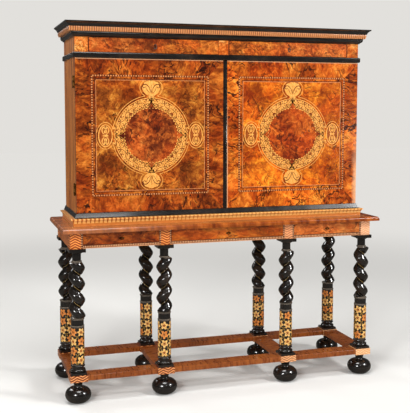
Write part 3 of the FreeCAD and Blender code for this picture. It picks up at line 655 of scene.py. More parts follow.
def toothed(name, pitch, share, levels, light, dark, lean=0.0, ground=None, worn=0.0):
    """A row of light teeth along a moulding that runs across the front and back along both sides. Towards
    the right the teeth fade into the darker ground by a given share."""
    f = Finish(name)
    place = f.place()
    x, y, z = f.split(place)
    low, high = levels
    case_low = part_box("case_left_side")[0]
    beyond_side = abs(x) + case_low.x
    beyond_front = case_low.y - y
    front = beyond_front > beyond_side
    run = front * x + (1 - front) * (y - case_low.y)
    rise = ((z - low) / (high - low)).lower(1).higher(0)
    phase = abs(((run / pitch) % 1) * 2 - 1)
    tooth = (phase - (1 - rise) * lean).step(share - TOOTH_SOFTNESS, share + TOOTH_SOFTNESS)
    # Towards the right the teeth fade into the darker ground.
    tooth = tooth * (1 - x.step(*RIGHT_FADE_SPAN) * worn)
    figure = f.noise(f.vector("MULTIPLY", place, (0.4, 0.4, 1.6)), 160, 3, 0.6)
    between, teeth = (figure.ramp(*zip(TWO_TONES, tones)) for tones in (dark, light))
    colour = f.mix(tooth, teeth, between)
    if ground is not None:
        colour = f.mix(z < low, colour, figure.ramp(*zip(TWO_TONES, ground)))
    return polished(f, colour, figure, 0.22, 0.38, tooth)


def cross_grain(name, along, tones, seed):
    """Veneer whose grain runs across the rail that it covers."""
    f = Finish(name)
    place = f.place()
    stretch = tuple(CROSS_SCALES[axis != along] for axis in "xyz")
    drift = f.noise(place, 6, 2, 0.5, 0, "Color")
    bent = f.vector("MULTIPLY_ADD", drift, (0.02, 0.02, 0.02), place)
    figure = f.noise(f.vector("MULTIPLY_ADD", bent, stretch, (seed, seed, seed)), 1.0, 5, 0.6)
    patch = f.noise(place, 5, 2)
    colour = (figure * 0.75 + patch * 0.25).ramp(*zip(CROSS_STOPS, tones))
    return polished(f, colour, figure, 0.2, 0.38)


table_veneer = table_finish()
# Each herringbone's third set of tones is its painted sheen on the right.
post_front = herringbone("post_herringbone", paints((240, 134, 52), (255, 172, 92)),
                         paints((128, 40, 4), (158, 60, 12)),
                         paints((246, 176, 128), (255, 206, 164)), 0.0134)
block_front = herringbone("block_herringbone", paints((214, 128, 66), (240, 166, 104)),
                          paints((92, 32, 6), (124, 50, 14)),
                          paints((240, 176, 120), (255, 206, 156)), 0.0136)
RAIL_TONES = paints((98, 44, 10), (126, 60, 14), (156, 84, 26))
rail_cross_x = cross_grain("rail_veneer", "x", RAIL_TONES, 3.0)
rail_cross_y = cross_grain("cross_rail_veneer", "y", RAIL_TONES, 8.0)
apron_strip = cross_grain("apron_strip_veneer", "x",
                          paints((110, 44, 14), (150, 72, 26), (184, 100, 44)), 12.0)
apron_side = cross_grain("apron_side_veneer", "y",
                         paints((136, 62, 18), (176, 90, 30), (206, 120, 50)), 14.0)
plinth_low, plinth_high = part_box("plinth_moulding")
TOOTH_PITCH = 0.0227
TOOTH_FOOT = plinth_low.z + 0.016
plinth_teeth = toothed("plinth_veneer", TOOTH_PITCH, 0.5, (TOOTH_FOOT, plinth_high.z),
                       paints((244, 164, 78), (255, 204, 124)), paints((166, 82, 22), (200, 112, 40)),
                       0.3, paints((196, 106, 38), (222, 134, 60)), 0.5)
ripple_low, ripple_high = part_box("ripple_band")
RIPPLE_PITCH = 0.0122
ripple_teeth = toothed("ripple_veneer", RIPPLE_PITCH, 0.52, (ripple_low.z, ripple_high.z),
                       paints((202, 128, 70), (224, 156, 98)), paints((112, 52, 20), (142, 76, 36)))
print("veneers for the table, posts, rails and mouldings are cut")

# %% [markdown]
# Brass turns brown in its corners and stays bright where it rubs. The lock and the bolts are forged iron,
# filed flat and blackened.

# %% Metals


def metal(name, colours, low, high, scale):
    """A worn metal: two or three colours by wear, and roughness that follows it."""
    f = Finish(name)
    place = f.place()
    wear = f.noise(place, scale, 5, 0.65)
    fine = f.noise(place, scale * 9, 2, 0.6)
    colour = wear.ramp(*zip((0.36, 0.52, 0.68), colours))
    rough = (wear * 0.6 + fine * 0.4) * (high - low) + low
    return f.finish(Base_Color=colour, Metallic=1.0, Roughness=rough, Normal=f.bump(fine, 0.0002, 0.5))


aged_brass = metal("aged_brass", paints((58, 34, 16), (96, 64, 30), (150, 112, 60)), 0.3, 0.55, 60)
iron = metal("iron", paints((52, 48, 46), (82, 78, 74), (118, 112, 106)), 0.35, 0.65, 55)
steel_plate = metal("escutcheon_steel", paints((84, 74, 68), (128, 116, 108), (186, 170, 160)),
                    0.2, 0.42, 70)
print("brass, iron and steel are cast")

# %% [markdown]
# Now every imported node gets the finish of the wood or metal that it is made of.

# %% Dress the nodes


def dress(finish, *names):
    """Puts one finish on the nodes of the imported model."""
    for name in names:
        made = nodes[name]
        made.data.materials.clear()
        made.data.materials.append(finish)
        dressed.add(name)


dressed = set()
LEGS = [f"{row}_leg_{number}" for row in ("front", "back") for number in (1, 2, 3, 4)]
dress(leg_ebony, *LEGS)
dress(ebony, "bun_feet", "meeting_strip", "base_moulding", "waist_moulding", "bed_moulding",
      "top_cornice", "floral_sleeves")
dress(block_front, "stretcher_blocks")
dress(post_front, "apron_posts")
dress(rail_cross_x, "stretcher_front_rail", "stretcher_back_rail")
dress(rail_cross_y, "stretcher_cross_rails")
dress(apron_strip, "apron_front_rail")
dress(apron_side, "apron_left_side", "apron_right_side")
dress(apron_left, "apron_left_drawer_front")
dress(apron_middle, "apron_middle_drawer_front")
dress(apron_right, "apron_right_drawer_front")
dress(table_veneer, "table_top")
dress(plinth_teeth, "plinth_moulding")
dress(ripple_teeth, "ripple_band")
dress(side_walnut, "case_left_side", "case_right_side")
dress(apron_strip, "case_front_rails")
dress(frieze_left, "frieze_left_drawer_front")
dress(frieze_right, "frieze_right_drawer_front")
dress(frieze_block, "frieze_posts")
dress(left_door_finish, "left_door")
dress(right_door_finish, "right_door")
dress(aged_brass, "case_hinge_halves", "left_door_hinge_halves", "right_door_hinge_halves")
dress(iron, "door_lock", "lock_bolt", "lock_keeper", "left_door_top_bolt", "left_door_bottom_bolt",
      "bolt_guides")
dress(oak_upright, "case_back", "case_partition")
dress(oak_finish, *[name for name in nodes if name not in dressed])
print(f"{len(dressed)} of {len(nodes)} nodes dressed")

# %% [markdown]
# A marquetry cutter sawed all the woods of a pattern at once, stacked, with a fine fretsaw, so that each
# piece fits the hole of the next. Here each piece is drawn as an outline or as a line that swells and
# tapers, and becomes a thin plate. The plates stand a few tenths of a millimetre off the ground wood, so
# their edges stay crisp from any side.

# %% Cutting veneers
SUNK = 0.2 * MM
GROUND_LIFT = 0.15 * MM
LIGHT_LIFT = 0.35 * MM
LINE_LIFT = 0.55 * MM
SWEEP_STEPS = 22
CIRCLE_STEPS = 96
SHORT_RUN = 4


class Veneers:
    """Thin pieces of one wood, drawn in millimetres and laid on one face or round one column."""

    def __init__(self, name, body, slot, finish, lay, lift):
        self.name = name
        self.body = body
        self.slot = slot
        self.finish = finish
        self.lay = lay
        self.lift = lift
        self.mesh = bmesh.new()
        self.count = 0

    def verts(self, points, lift):
        """New vertices at some height off the wood."""
        return [self.mesh.verts.new(self.lay(u * MM, w * MM, lift)) for u, w in points]

    def wall(self, near, far):
        """Faces between two closed loops of vertices."""
        for one, two in enumerate([*range(1, len(near)), 0]):
            self.mesh.faces.new((near[one], near[two], far[two], far[one]))

    def plate(self, outline, centre=None):
        """A plate inside an outline, with a middle point where it wraps round a column."""
        top, foot = self.verts(outline, self.lift), self.verts(outline, -SUNK)
        self.wall(top, foot)
        if centre is None:
            self.mesh.faces.new(top[::-1])
            self.mesh.faces.new(foot)
        else:
            peak, root = self.verts([centre], self.lift)[0], self.verts([centre], -SUNK)[0]
            for one, two in enumerate([*range(1, len(outline)), 0]):
                self.mesh.faces.new((peak, top[two], top[one]))
                self.mesh.faces.new((root, foot[one], foot[two]))
        self.count += 1

    def ring(self, outer, inner):
        """A plate between two outlines with the same number of points."""
        loops = [self.verts(outer, self.lift), self.verts(inner, self.lift),
                 self.verts(inner, -SUNK), self.verts(outer, -SUNK)]
        for near, far in zip(loops, loops[1:] + loops[:1]):
            self.wall(near, far)
        self.count += 1

    def line(self, points, widths, closed=False):
        """A strip along points, as wide at each share of its length as widths says."""
        left, right = strip_sides(points, widths, closed)
        if closed:
            self.ring(left, right)
            return
        rows = list(zip(self.verts(left, self.lift), self.verts(right, self.lift),
                        self.verts(right, -SUNK), self.verts(left, -SUNK)))
        for near, far in zip(rows, rows[1:]):
            self.wall(near, far)
        self.mesh.faces.new(rows[0][::-1])
        self.mesh.faces.new(rows[-1])
        self.count += 1

    def done(self):
        """Makes the object, gives it its finish and sets it riding on its body."""
        bmesh.ops.recalc_face_normals(self.mesh, faces=self.mesh.faces)
        data = bpy.data.meshes.new(self.name)
        self.mesh.to_mesh(data)
        self.mesh.free()
        data.materials.append(self.finish)
        made = bpy.data.objects.new(self.name, data)
        bpy.context.scene.collection.objects.link(made)
        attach(made, self.body)
        return made


def strip_sides(points, widths, closed=False):
    """The two edges of a strip along points."""
    count = len(points)
    left, right = [], []
    for index, (u, w) in enumerate(points):
        if closed:
            before, after = points[index - 1], points[(index + 1) % count]
            share = index / count
        else:
            before, after = points[max(index - 1, 0)], points[min(index + 1, count - 1)]
            share = index / (count - 1)
        du, dw = after[0] - before[0], after[1] - before[1]
        size = math.hypot(du, dw)
        half = blend(widths, share) / 2
        left.append((u - dw / size * half, w + du / size * half))
        right.append((u + dw / size * half, w - du / size * half))
    return left, right


def blend(values, share):
    """A value between evenly spaced ones."""
    if not isinstance(values, (tuple, list)):
        return values
    place = share * (len(values) - 1)
    index = min(int(place), len(values) - 2)
    return values[index] + (values[index + 1] - values[index]) * (place - index)


def sweep(start, heading, length, bends, steps=SWEEP_STEPS):
    """Points of a line whose bend changes evenly, which is how scrolls curl."""
    u, w = start
    angle = heading
    points = [(u, w)]
    for index in range(steps):
        angle += blend(bends, (index + 0.5) / steps) * length / steps
        u += math.cos(angle) * length / steps
        w += math.sin(angle) * length / steps
        points.append((u, w))
    return points


def oval(centre, half_width, half_height, steps=CIRCLE_STEPS, start=0.0, turn=1.0):
    """Points round an oval, or along a part of it in shares of a turn."""
    last = steps if turn == 1.0 else steps - 1
    angles = [2 * math.pi * (start + turn * index / last) for index in range(steps)]
    return [(centre[0] + half_width * math.cos(a), centre[1] + half_height * math.sin(a)) for a in angles]


def leaf(base, heading, length, width, sway=0.0, steps=7):
    """A pointed leaf: two bowed edges from its base to its tip."""
    spine = sweep(base, heading, length, (sway, sway), 2 * steps)
    widths = [width * math.sin(math.pi * (index / (2 * steps)) ** 0.8) for index in range(2 * steps + 1)]
    left, right = strip_sides(spine, widths)
    return left[:-1] + [spine[-1]] + right[-2:0:-1]


def turned(points, angle):
    """Points turned round the middle of the pattern."""
    c, s = math.cos(angle), math.sin(angle)
    return [(u * c - w * s, u * s + w * c) for u, w in points]


def placed(points, centre, side=1, up=1):
    """Points drawn about a centre, mirrored where side or up is -1."""
    return [(centre[0] + side * u, centre[1] + up * w) for u, w in points]


def runs(points, passes):
    """The stretches of a line whose points all pass a test, without the very short ones."""
    found, run = [], []
    for point in points:
        if passes(point):
            run.append(point)
        elif run:
            found.append(run)
            run = []
    found.append(run)
    return [run for run in found if len(run) > SHORT_RUN]


def on_front(centre_x, front_y, centre_z):
    """A place on a face that looks forward, from its middle, with a lift off the wood."""
    return lambda u, w, lift: Vector((centre_x + u, front_y - lift, centre_z + w))


FIBRE_SCALE = 240
FIBRE_STOPS = (0.35, 0.65)
SAND_SCALE = 70
SAND_SHADE = (0.50, 0.72)


def light_wood(name, tones, edge, scale=FIBRE_SCALE):
    """A pale inlay wood, darker in clouds where it was shaded in hot sand."""
    f = Finish(name)
    place = f.place()
    fibre = f.noise(f.vector("MULTIPLY", place, (1, 1, 0.25)), scale, 3, 0.6)
    shade = f.noise(place, SAND_SCALE, 3, 0.6).step(*SAND_SHADE)
    colour = fibre.ramp(*zip(FIBRE_STOPS, tones))
    colour = f.mix(shade * 0.55, colour, edge)
    return polished(f, colour, fibre, 0.18, 0.34)


boxwood = light_wood("boxwood", paints((214, 140, 56), (238, 172, 88)), paint(178, 98, 32))
dash_wood = light_wood("dash_wood", paints((196, 120, 64), (220, 148, 90)), paint(166, 92, 42))
ring_ground = light_wood("ring_ground", paints((104, 44, 10), (136, 64, 18)), paint(72, 28, 6))
oval_wood = light_wood("oval_wood", paints((126, 58, 14), (162, 84, 28)), paint(92, 38, 8))
dark_line = light_wood("dark_line", paints((78, 32, 10), (104, 48, 18)), paint(52, 22, 10))
foot_wood = light_wood("foot_wood", paints((216, 152, 104), (236, 180, 132)), paint(190, 120, 74))
foot_ground = light_wood("foot_ground", paints((66, 20, 6), (92, 32, 10)), paint(44, 14, 6))
print("the fretsaw is ready")

# %% [markdown]
# The pattern of each door: a round picture of dark burr, a band of scrolls round it in four bows, a shell
# above and below, and an oval strapwork panel at either side. A thin pale line echoes the whole outline.
# Everything is drawn in millimetres from the middle of the pattern.

# %% Door marquetry
DISC_RADIUS = 152.0
BAND_INNER = 150.0
BAND_OUTER = 202.0
BAND_MIDDLE = (BAND_INNER + BAND_OUTER) / 2
RIM_RADII = (BAND_OUTER - 2, BAND_INNER + 3)
RIM_WIDTH = 4.0
SCALLOPS = 52
SCALLOP_REACH = BAND_INNER + 0.5
SCALLOP_RADIUS = 6.2
HALF_WAVES = 4
WAVE_HEIGHT = 11.0
WAVE_STEPS = 12
STEM_WIDTH = 7.0
CURL_STEPS = 20
CURL_RADII = (12.0, 3.8)
CURL_TURN = 2.4
CURL_RISE = -9.5
CURL_SQUASH = 0.95
CURL_WIDTHS = (6.8, 5.8, 4.0)
CURL_EYE = 4.0
# Each leaf: its run from the middle of the wave, its rise, heading, length, width and sway.
SCROLL_LEAVES = ((-14.5, 4.0, 1.1, 19, 10.0, 0.02), (8.0, 12.5, 0.35, 17, 9.0, -0.03),
                 (-5.0, 16.0, 0.1, 16, 8.5, 0.0), (12.5, -19.0, 2.2, 15, 8.5, 0.0))
WEDGE = ((0, 27), (-19, -1.5), (0, -4), (19, -1.5))
STRAP_FOOT = (25.0, -1.0)
STRAP_LEAN = 0.62
STRAP_LENGTH = 74
STRAP_BEND = -0.006
STRAP_WIDTHS = (4.0, 7.0, 3.0)
SHELL_PLACES = ((254.0, 1), (-244.0, -1))
SHELL_HALF = (49.0, 40.0)
SHELL_LOBES = 8
LOBE_DEPTH = 0.045
SHELL_FOOT = 0.16
SHELL_CURL = ((2.5, -30.0), 1.45, 104, (-0.002, -0.030, -0.17), 34)
SHELL_RIB = ((7.0, -29.0), 0.75, 46, (0.004, 0.03), 16)
SHELL_ARM = ((5.0, -41.0), -2.2, 46, (0.045, 0.02, -0.03), 20)
SHELL_LEAF = ((2.0, -54.0), 0.5, 22, 9, 0.02)
SHELL_SPINE = ((0, -24), (0, 20))
OVAL_PLACE = 250.0
OVAL_HALF = (39.0, 60.0)
OVAL_RIM_INSET = 2.5
OVAL_RIM_WIDTH = 5.5
OVAL_LEAF = ((0, 20), math.pi / 2, 30, 11)
OVAL_HEART = ((-17, 0), 0, 34, 13)
OVAL_HOOK = ((-37.0, 37.2), math.pi * 0.98, 34, (-0.02, -0.10), 18)
ECHO_GAP = 11.0
ECHO_WIDTH = 3.0
ECHO_INSET = 1.0
DASH_PITCH = 13.6
DASH_SHARE = 0.48
DASH_WIDTHS = (9.5, 7.0)
PANEL_LINE_WIDTH = 2.4
SHADOW_LINE_GAP = 5.4
SHADOW_LINE_WIDTH = 4.0


def dash_row(ground, dashes, start, end, pitch=DASH_PITCH, widths=DASH_WIDTHS, share=DASH_SHARE):
    """A dark strip with evenly spaced light dashes across it."""
    (u0, w0), (u1, w1) = start, end
    length = math.hypot(u1 - u0, w1 - w0)
    du, dw = (u1 - u0) / length, (w1 - w0) / length
    ground.line([start, end], widths[0])
    count = round(length / pitch)
    fitted = length / count
    half = fitted * share / 2
    for index in range(count):
        middle = (index + 0.5) * fitted
        ends = [(u0 + du * (middle + side * half), w0 + dw * (middle + side * half)) for side in (-1, 1)]
        dashes.line(ends, widths[1])


def band_point(run, rise, flip, sector):
    """A point of the scroll band, by its run along an eighth of it and its rise across it."""
    angle = sector + flip * run / BAND_MIDDLE
    radius = BAND_MIDDLE + rise
    return radius * math.cos(angle), radius * math.sin(angle)


def scroll_band(light, flip, sector):
    """An eighth of the band: a waving stem, a curl in each of its hollows, and leaves between them."""
    half = math.pi / 4 * BAND_MIDDLE / HALF_WAVES

    def laid(points):
        return [band_point(run, rise, flip, sector) for run, rise in points]

    waves = [index / WAVE_STEPS for index in range(WAVE_STEPS * HALF_WAVES + 1)]
    light.line(laid([(half * wave, WAVE_HEIGHT * math.sin(math.pi * wave)) for wave in waves]), STEM_WIDTH)
    for wave in range(HALF_WAVES):
        side = 1 if wave % 2 == 0 else -1
        middle = (wave + 0.5) * half
        curl = []
        for index in range(CURL_STEPS + 1):
            share = index / CURL_STEPS
            radius, angle = blend(CURL_RADII, share), math.pi * (1 - CURL_TURN * share)
            curl.append((middle + radius * math.cos(angle),
                         side * (CURL_RISE + CURL_SQUASH * radius * math.sin(angle))))
        light.line(laid(curl), CURL_WIDTHS)
        light.plate(laid(oval((middle, side * CURL_RISE), CURL_EYE, CURL_EYE, 12)))
        for run, rise, heading, length, width, sway in SCROLL_LEAVES:
            light.plate(laid(leaf((middle + run, side * rise), side * heading, length, width, side * sway)))


def crossing(disc, light, angle):
    """Where two bows of the band meet: a dark wedge inside it and straps that cross over it."""
    disc.plate(turned(placed(WEDGE, (0, BAND_INNER)), angle))
    for flip in (-1, 1):
        foot = (-flip * STRAP_FOOT[0], BAND_INNER + STRAP_FOOT[1])
        strap = sweep(foot, math.pi / 2 - flip * STRAP_LEAN, STRAP_LENGTH, (0.0, flip * STRAP_BEND), 14)
        light.line(turned(strap, angle), STRAP_WIDTHS)


def reach_past(point, outline):
    """How far a point lies from the middle of an outline, where 1 is on the outline itself."""
    (u, w), half_width, half_height = outline
    return math.hypot((point[0] - u) / half_width, (point[1] - w) / half_height)


def echo_lines(outlines):
    """Those parts of some outlines that lie inside the panel and outside all the others, as open lines."""
    width, height = PANEL_HALF_WIDTH / MM - ECHO_INSET, PANEL_HALF_HEIGHT / MM - ECHO_INSET
    lines = []
    for own in outlines:
        def free(point, own=own):
            inside = abs(point[0]) < width and abs(point[1]) < height
            return inside and all(reach_past(point, other) >= 1 for other in outlines if other is not own)

        points = oval(*own, 4 * CIRCLE_STEPS, 1 / 8)
        lines += runs(points + points[:1], free)
    return lines


def shell(light, dark, place, up):
    """A fan shell: a pale lobed plate, dark ribs from its foot and a dark curl on each side."""
    half_width, half_height = SHELL_HALF
    middle = (0, place)
    outline = []
    for index in range(CIRCLE_STEPS):
        angle = 2 * math.pi * index / CIRCLE_STEPS
        lobe = 1 + LOBE_DEPTH * math.cos(SHELL_LOBES * angle) * (0.5 + 0.5 * math.sin(angle))
        foot = 1 + SHELL_FOOT * max(0.0, -math.sin(angle)) ** 6
        outline.append((half_width * lobe * math.cos(angle), half_height * lobe * foot * math.sin(angle)))
    light.plate(placed(outline, middle, 1, up))
    crescent = oval((0, 0), half_width + 3.0, half_height + 3.0, 30, -0.12, 0.32)
    strokes = ((dark, sweep(*SHELL_CURL), (1.6, 4.6, 3.2)), (dark, sweep(*SHELL_RIB), (1.2, 2.8, 0.8)),
               (dark, crescent, (0.8, 3.0, 0.8)), (light, sweep(*SHELL_ARM), (2.0, 7.0, 3.0)))
    for side in (-1, 1):
        for sheet, points, widths in strokes:
            sheet.line(placed(points, middle, side, up), widths)
        light.plate(placed(leaf(*SHELL_LEAF), middle, side, up))
    dark.line(placed(SHELL_SPINE, middle, 1, up), (2.4, 1.0))


def strapwork(light, dark, ground, place):
    """An oval panel of straps: a pale rim, a darker ground and two pairs of facing scrolls."""
    half_width, half_height = OVAL_HALF
    middle = (place, 0)
    side = 1 if place > 0 else -1
    ground.plate(placed(oval((0, 0), half_width - 2, half_height - 2), middle, side))
    rim = oval((0, 0), half_width - OVAL_RIM_INSET, half_height - OVAL_RIM_INSET)
    light.line(placed(rim, middle, side), OVAL_RIM_WIDTH, True)
    shadow = oval((0, 0), half_width + 2.0, half_height + 2.0, 30, 0.03, 0.19)
    for up in (-1, 1):
        for turn in (-1, 1):
            scroll = sweep((turn * 3.0, 4.0), math.pi / 2 - turn * 0.9, 80,
                           (turn * 0.012, turn * 0.052, turn * 0.14), 28)
            light.line(placed(scroll, middle, side, up), (2.4, 6.4, 5.4, 4.0))
            light.plate(placed(leaf((turn * 2, 12), math.pi / 2 - turn * 0.25, 20, 8), middle, side, up))
        light.plate(placed(leaf(*OVAL_LEAF), middle, side, up))
        light.line(placed(sweep(*OVAL_HOOK), middle, side, up), (6.5, 5.0, 2.4))
        dark.line(placed(shadow, middle, side, up), (0.6, 2.2, 0.6))
    light.plate(placed(leaf(*OVAL_HEART), middle, side))


def door_marquetry(side, body, disc_finish):
    """All the inlays of one door."""
    lay = on_front(side * PATTERN_X, DOOR_FRONT, PATTERN_Z)
    woods = {"disc": (disc_finish, GROUND_LIFT), "band_ground": (ring_ground, GROUND_LIFT * 1.6),
             "oval_ground": (oval_wood, GROUND_LIFT), "wedges": (disc_finish, LINE_LIFT),
             "scrolls": (boxwood, LIGHT_LIFT), "dark_lines": (dark_line, LINE_LIFT),
             "dash_ground": (dark_line, GROUND_LIFT), "dashes": (dash_wood, LIGHT_LIFT)}
    sheets = [Veneers(f"{body}_{name}", body, "door_marquetry", finish, lay, lift)
              for name, (finish, lift) in woods.items()]
    disc, ground, oval_ground, wedges, light, dark, strip, dashes = sheets

    disc.plate(oval((0, 0), DISC_RADIUS, DISC_RADIUS))
    ground.ring(oval((0, 0), BAND_OUTER, BAND_OUTER), oval((0, 0), BAND_INNER, BAND_INNER))
    for radius in RIM_RADII:
        light.line(oval((0, 0), radius, radius, 2 * CIRCLE_STEPS), RIM_WIDTH, True)
    for index in range(SCALLOPS):
        middle = turned([(SCALLOP_REACH, 0)], 2 * math.pi * (index + 0.5) / SCALLOPS)[0]
        light.plate(oval(middle, SCALLOP_RADIUS, SCALLOP_RADIUS, 14))
    for quarter in range(4):
        for flip in (-1, 1):
            scroll_band(light, flip, (quarter + 0.5) * math.pi / 2)
    for quarter in range(4):
        crossing(wedges, light, quarter * math.pi / 2)

    for place, up in SHELL_PLACES:
        shell(light, dark, place, up)
    for place in (-OVAL_PLACE, OVAL_PLACE):
        strapwork(light, dark, oval_ground, place)
    outlines = [((0, 0), BAND_OUTER + ECHO_GAP, BAND_OUTER + ECHO_GAP)]
    outlines += [((0, place), SHELL_HALF[0] + ECHO_GAP + 2, SHELL_HALF[1] + ECHO_GAP)
                 for place, up in SHELL_PLACES]
    outlines += [((place, 0), OVAL_HALF[0] + ECHO_GAP - 1, OVAL_HALF[1] + ECHO_GAP)
                 for place in (-OVAL_PLACE, OVAL_PLACE)]
    for line in echo_lines(outlines):
        light.line(line, ECHO_WIDTH)

    half_width, half_height = FRAME_HALF_WIDTH / MM, FRAME_HALF_HEIGHT / MM
    for level in (-1, 1):
        dash_row(strip, dashes, (-half_width, level * half_height), (half_width, level * half_height))
        dash_row(strip, dashes, (level * half_width, -half_height), (level * half_width, half_height))
    half_width, half_height = PANEL_HALF_WIDTH / MM, PANEL_HALF_HEIGHT / MM
    corners = [(-half_width, -half_height), (half_width, -half_height),
               (half_width, half_height), (-half_width, half_height)]
    outward = 1 + SHADOW_LINE_GAP / half_width
    for ends in zip(corners, corners[1:] + corners[:1]):
        dashes.line(ends, PANEL_LINE_WIDTH)
        dark.line([(u * outward, w * outward) for u, w in ends], SHADOW_LINE_WIDTH)
    for sheet in sheets:
        sheet.done()
    return sum(sheet.count for sheet in sheets)


left_disc = burr_finish("left_disc_burr", 71.0, disc_tones, paint(56, 20, 8), (1, 1, 1), 0.85)
right_disc = burr_finish("right_disc_burr", 77.0, right_disc_tones, paint(72, 26, 8), (1, 1, 1), 0.85)
laid_left = door_marquetry(-1, "left_door", left_disc)
laid_right = door_marquetry(1, "right_door", right_disc)
print(f"{laid_left} pieces laid in the left door and {laid_right} in the right one")

# %% [markdown]
# The stand has its own inlays. A row of dashes runs along the foot of the apron and up both edges of each
# post, and each drawer of the frieze has a small worn steel plate round its keyhole.

# %% Apron and frieze inlays
post_low, post_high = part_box("apron_posts")
rail_low, rail_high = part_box("apron_front_rail")
middle_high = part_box("apron_middle_drawer_front")[1]
left_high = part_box("apron_left_drawer_front")[1]
DRAWER_GAP = 2.0
POST_EDGE_INSET = 4.6
POST_STRIP = (8.6, 5.6)
FOOT_STRIP = (12.0, 9.0)
FOOT_RISE = 2.0
# The place and width of a pale painted highlight line at the bottom edge of the apron.
FOOT_HIGHLIGHT = (-6.2, 2.4)
POST_PITCH = 11.6
FOOT_PITCH = 9.2
APRON_MIDDLE_Z = (rail_low.z + post_high.z) / 2
ESCUTCHEON_HALF = (8.5, 14.0)
APRON_PLATE_HALF = (14.0, 7.0)
KEYHOLE_HALF = (3.8, 8.6)
KEYHOLE_DROP = 3.5
JOINT_INSET = 2.0
JOINT_WIDTH = 5.0


def apron_inlays():
    """The dashes along the foot of the apron and up the edges of its posts, and a pale painted highlight
    line along the apron's bottom edge.
    """
    body = "stand_and_case"
    lay = on_front(0.0, post_low.y, APRON_MIDDLE_Z)
    strip = Veneers("apron_dash_ground", body, "apron_veneer", foot_ground, lay, GROUND_LIFT)
    dashes = Veneers("apron_dashes", body, "apron_veneer", foot_wood, lay, LIGHT_LIFT)
    inner = middle_high.x / MM + DRAWER_GAP
    outer = -left_high.x / MM - DRAWER_GAP
    end = rail_high.x / MM
    foot = (rail_low.z - APRON_MIDDLE_Z) / MM
    head = (post_high.z - APRON_MIDDLE_Z) / MM
    level = foot + (rail_high.z - rail_low.z) / MM / 2
    rise, width = FOOT_HIGHLIGHT
    for start, finish in ((-end, -outer), (-inner, inner), (outer, end)):
        dash_row(strip, dashes, (start, level + FOOT_RISE), (finish, level + FOOT_RISE),
                 FOOT_PITCH, FOOT_STRIP, 0.5)
        # A pale painted highlight line along the bottom edge of the apron.
        dashes.line([(start, level + rise), (finish, level + rise)], width)
    edges = [side * place for side in (-1, 1)
             for place in (inner + POST_EDGE_INSET, outer - POST_EDGE_INSET, end + POST_EDGE_INSET)]
    for edge in edges:
        dash_row(strip, dashes, (edge, foot + 1), (edge, head - 1), POST_PITCH, POST_STRIP)
    strip.done()
    dashes.done()
    return dashes.count


def frieze_joints():
    """A dark upright line on the frieze's blocks, beside the drawers."""
    low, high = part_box("frieze_posts")
    lay = on_front(0.0, low.y, (low.z + high.z) / 2)
    lines = Veneers("frieze_joint_lines", "stand_and_case", "frieze_veneer", dark_line, lay, GROUND_LIFT)
    half = (high.z - low.z) / MM / 2 - JOINT_INSET
    left_drawer, right_drawer = (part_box(f"frieze_{side}_drawer_front") for side in ("left", "right"))
    for edge, way in ((left_drawer[0].x, -1), (right_drawer[0].x, -1), (right_drawer[1].x, 1)):
        middle = edge / MM + way * (DRAWER_GAP + JOINT_WIDTH / 2)
        lines.line([(middle, -half), (middle, half)], JOINT_WIDTH)
    lines.done()


def escutcheons():
    """A worn oval plate round the keyhole of each drawer: steel on the frieze, dull brass on the apron."""
    drawers = [(f"frieze_{side}_drawer", steel_plate, ESCUTCHEON_HALF) for side in ("left", "right")]
    drawers += [(f"apron_{side}_drawer", aged_brass, APRON_PLATE_HALF)
                for side in ("left", "middle", "right")]
    for drawer, finish, half in drawers:
        low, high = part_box(f"{drawer}_front")
        middle = (low + high) / 2
        plate = Veneers(f"{drawer}_escutcheon", drawer, "iron", finish,
                        on_front(middle.x, low.y, middle.z), 1.0 * MM)
        plate.ring(oval((0, -KEYHOLE_DROP), *half, 40), oval((0, -KEYHOLE_DROP), *KEYHOLE_HALF, 40))
        plate.done()


print(f"{apron_inlays()} dashes laid in the apron")
frieze_joints()
escutcheons()

# %% [markdown]
# The sleeves low on the legs are floral marquetry on black. Petals were cut from pale and from orange wood
# and leaves from green-stained wood, and each was shaded in hot sand before it was glued round the column.

# %% Flowers round the legs
leg_low, leg_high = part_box("front_leg_1")
SLEEVE_RADIUS = ((leg_low.x + leg_high.x) / 2 - sleeve_low.x) / MM
FLOWER_COLUMNS = 5
FLOWER_ROWS = 4
FLOWER_REACH = 22.4
FLOWER_STRETCH = 1.08
LEAF_REACH = 11.0
PETAL_STEPS = 10
PETAL_GAP = 0.03
PALE_LEG = ("pale", "pale", "pale", "orange")
ORANGE_LEG = ("pale", "orange", "orange")
REDDER_LEGS = ("front_leg_1", "back_leg_1", "back_leg_3")
TWIST_PITCH = (TWIST_HEAD - TWIST_FOOT) / 3.5
TWIST_LINE_RADIUS = 0.0187
PALE_LINE_INSET = 12.0
PALE_LINE_STEPS = 150
PALE_LINE_WIDTHS = (0.5, 4.6, 4.6, 4.6, 0.5)
TWIST_STARTS = (0.086, 0.590, 0.600, 0.333, 0.890, 0.872, 0.883, 0.828)
TWIST_HANDS = (-1, 1, 1, -1, 1, -1, -1, 1)


def leg_middle(name):
    low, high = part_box(name)
    return (low.x + high.x) / 2, (low.y + high.y) / 2


def round_column(middle, radius, foot):
    """A place on an upright column: along its girth from the front, and up."""
    def lay(u, w, lift):
        angle = u / radius
        return Vector((middle[0] + (radius + lift) * math.sin(angle),
                       middle[1] - (radius + lift) * math.cos(angle), foot + w))
    return lay


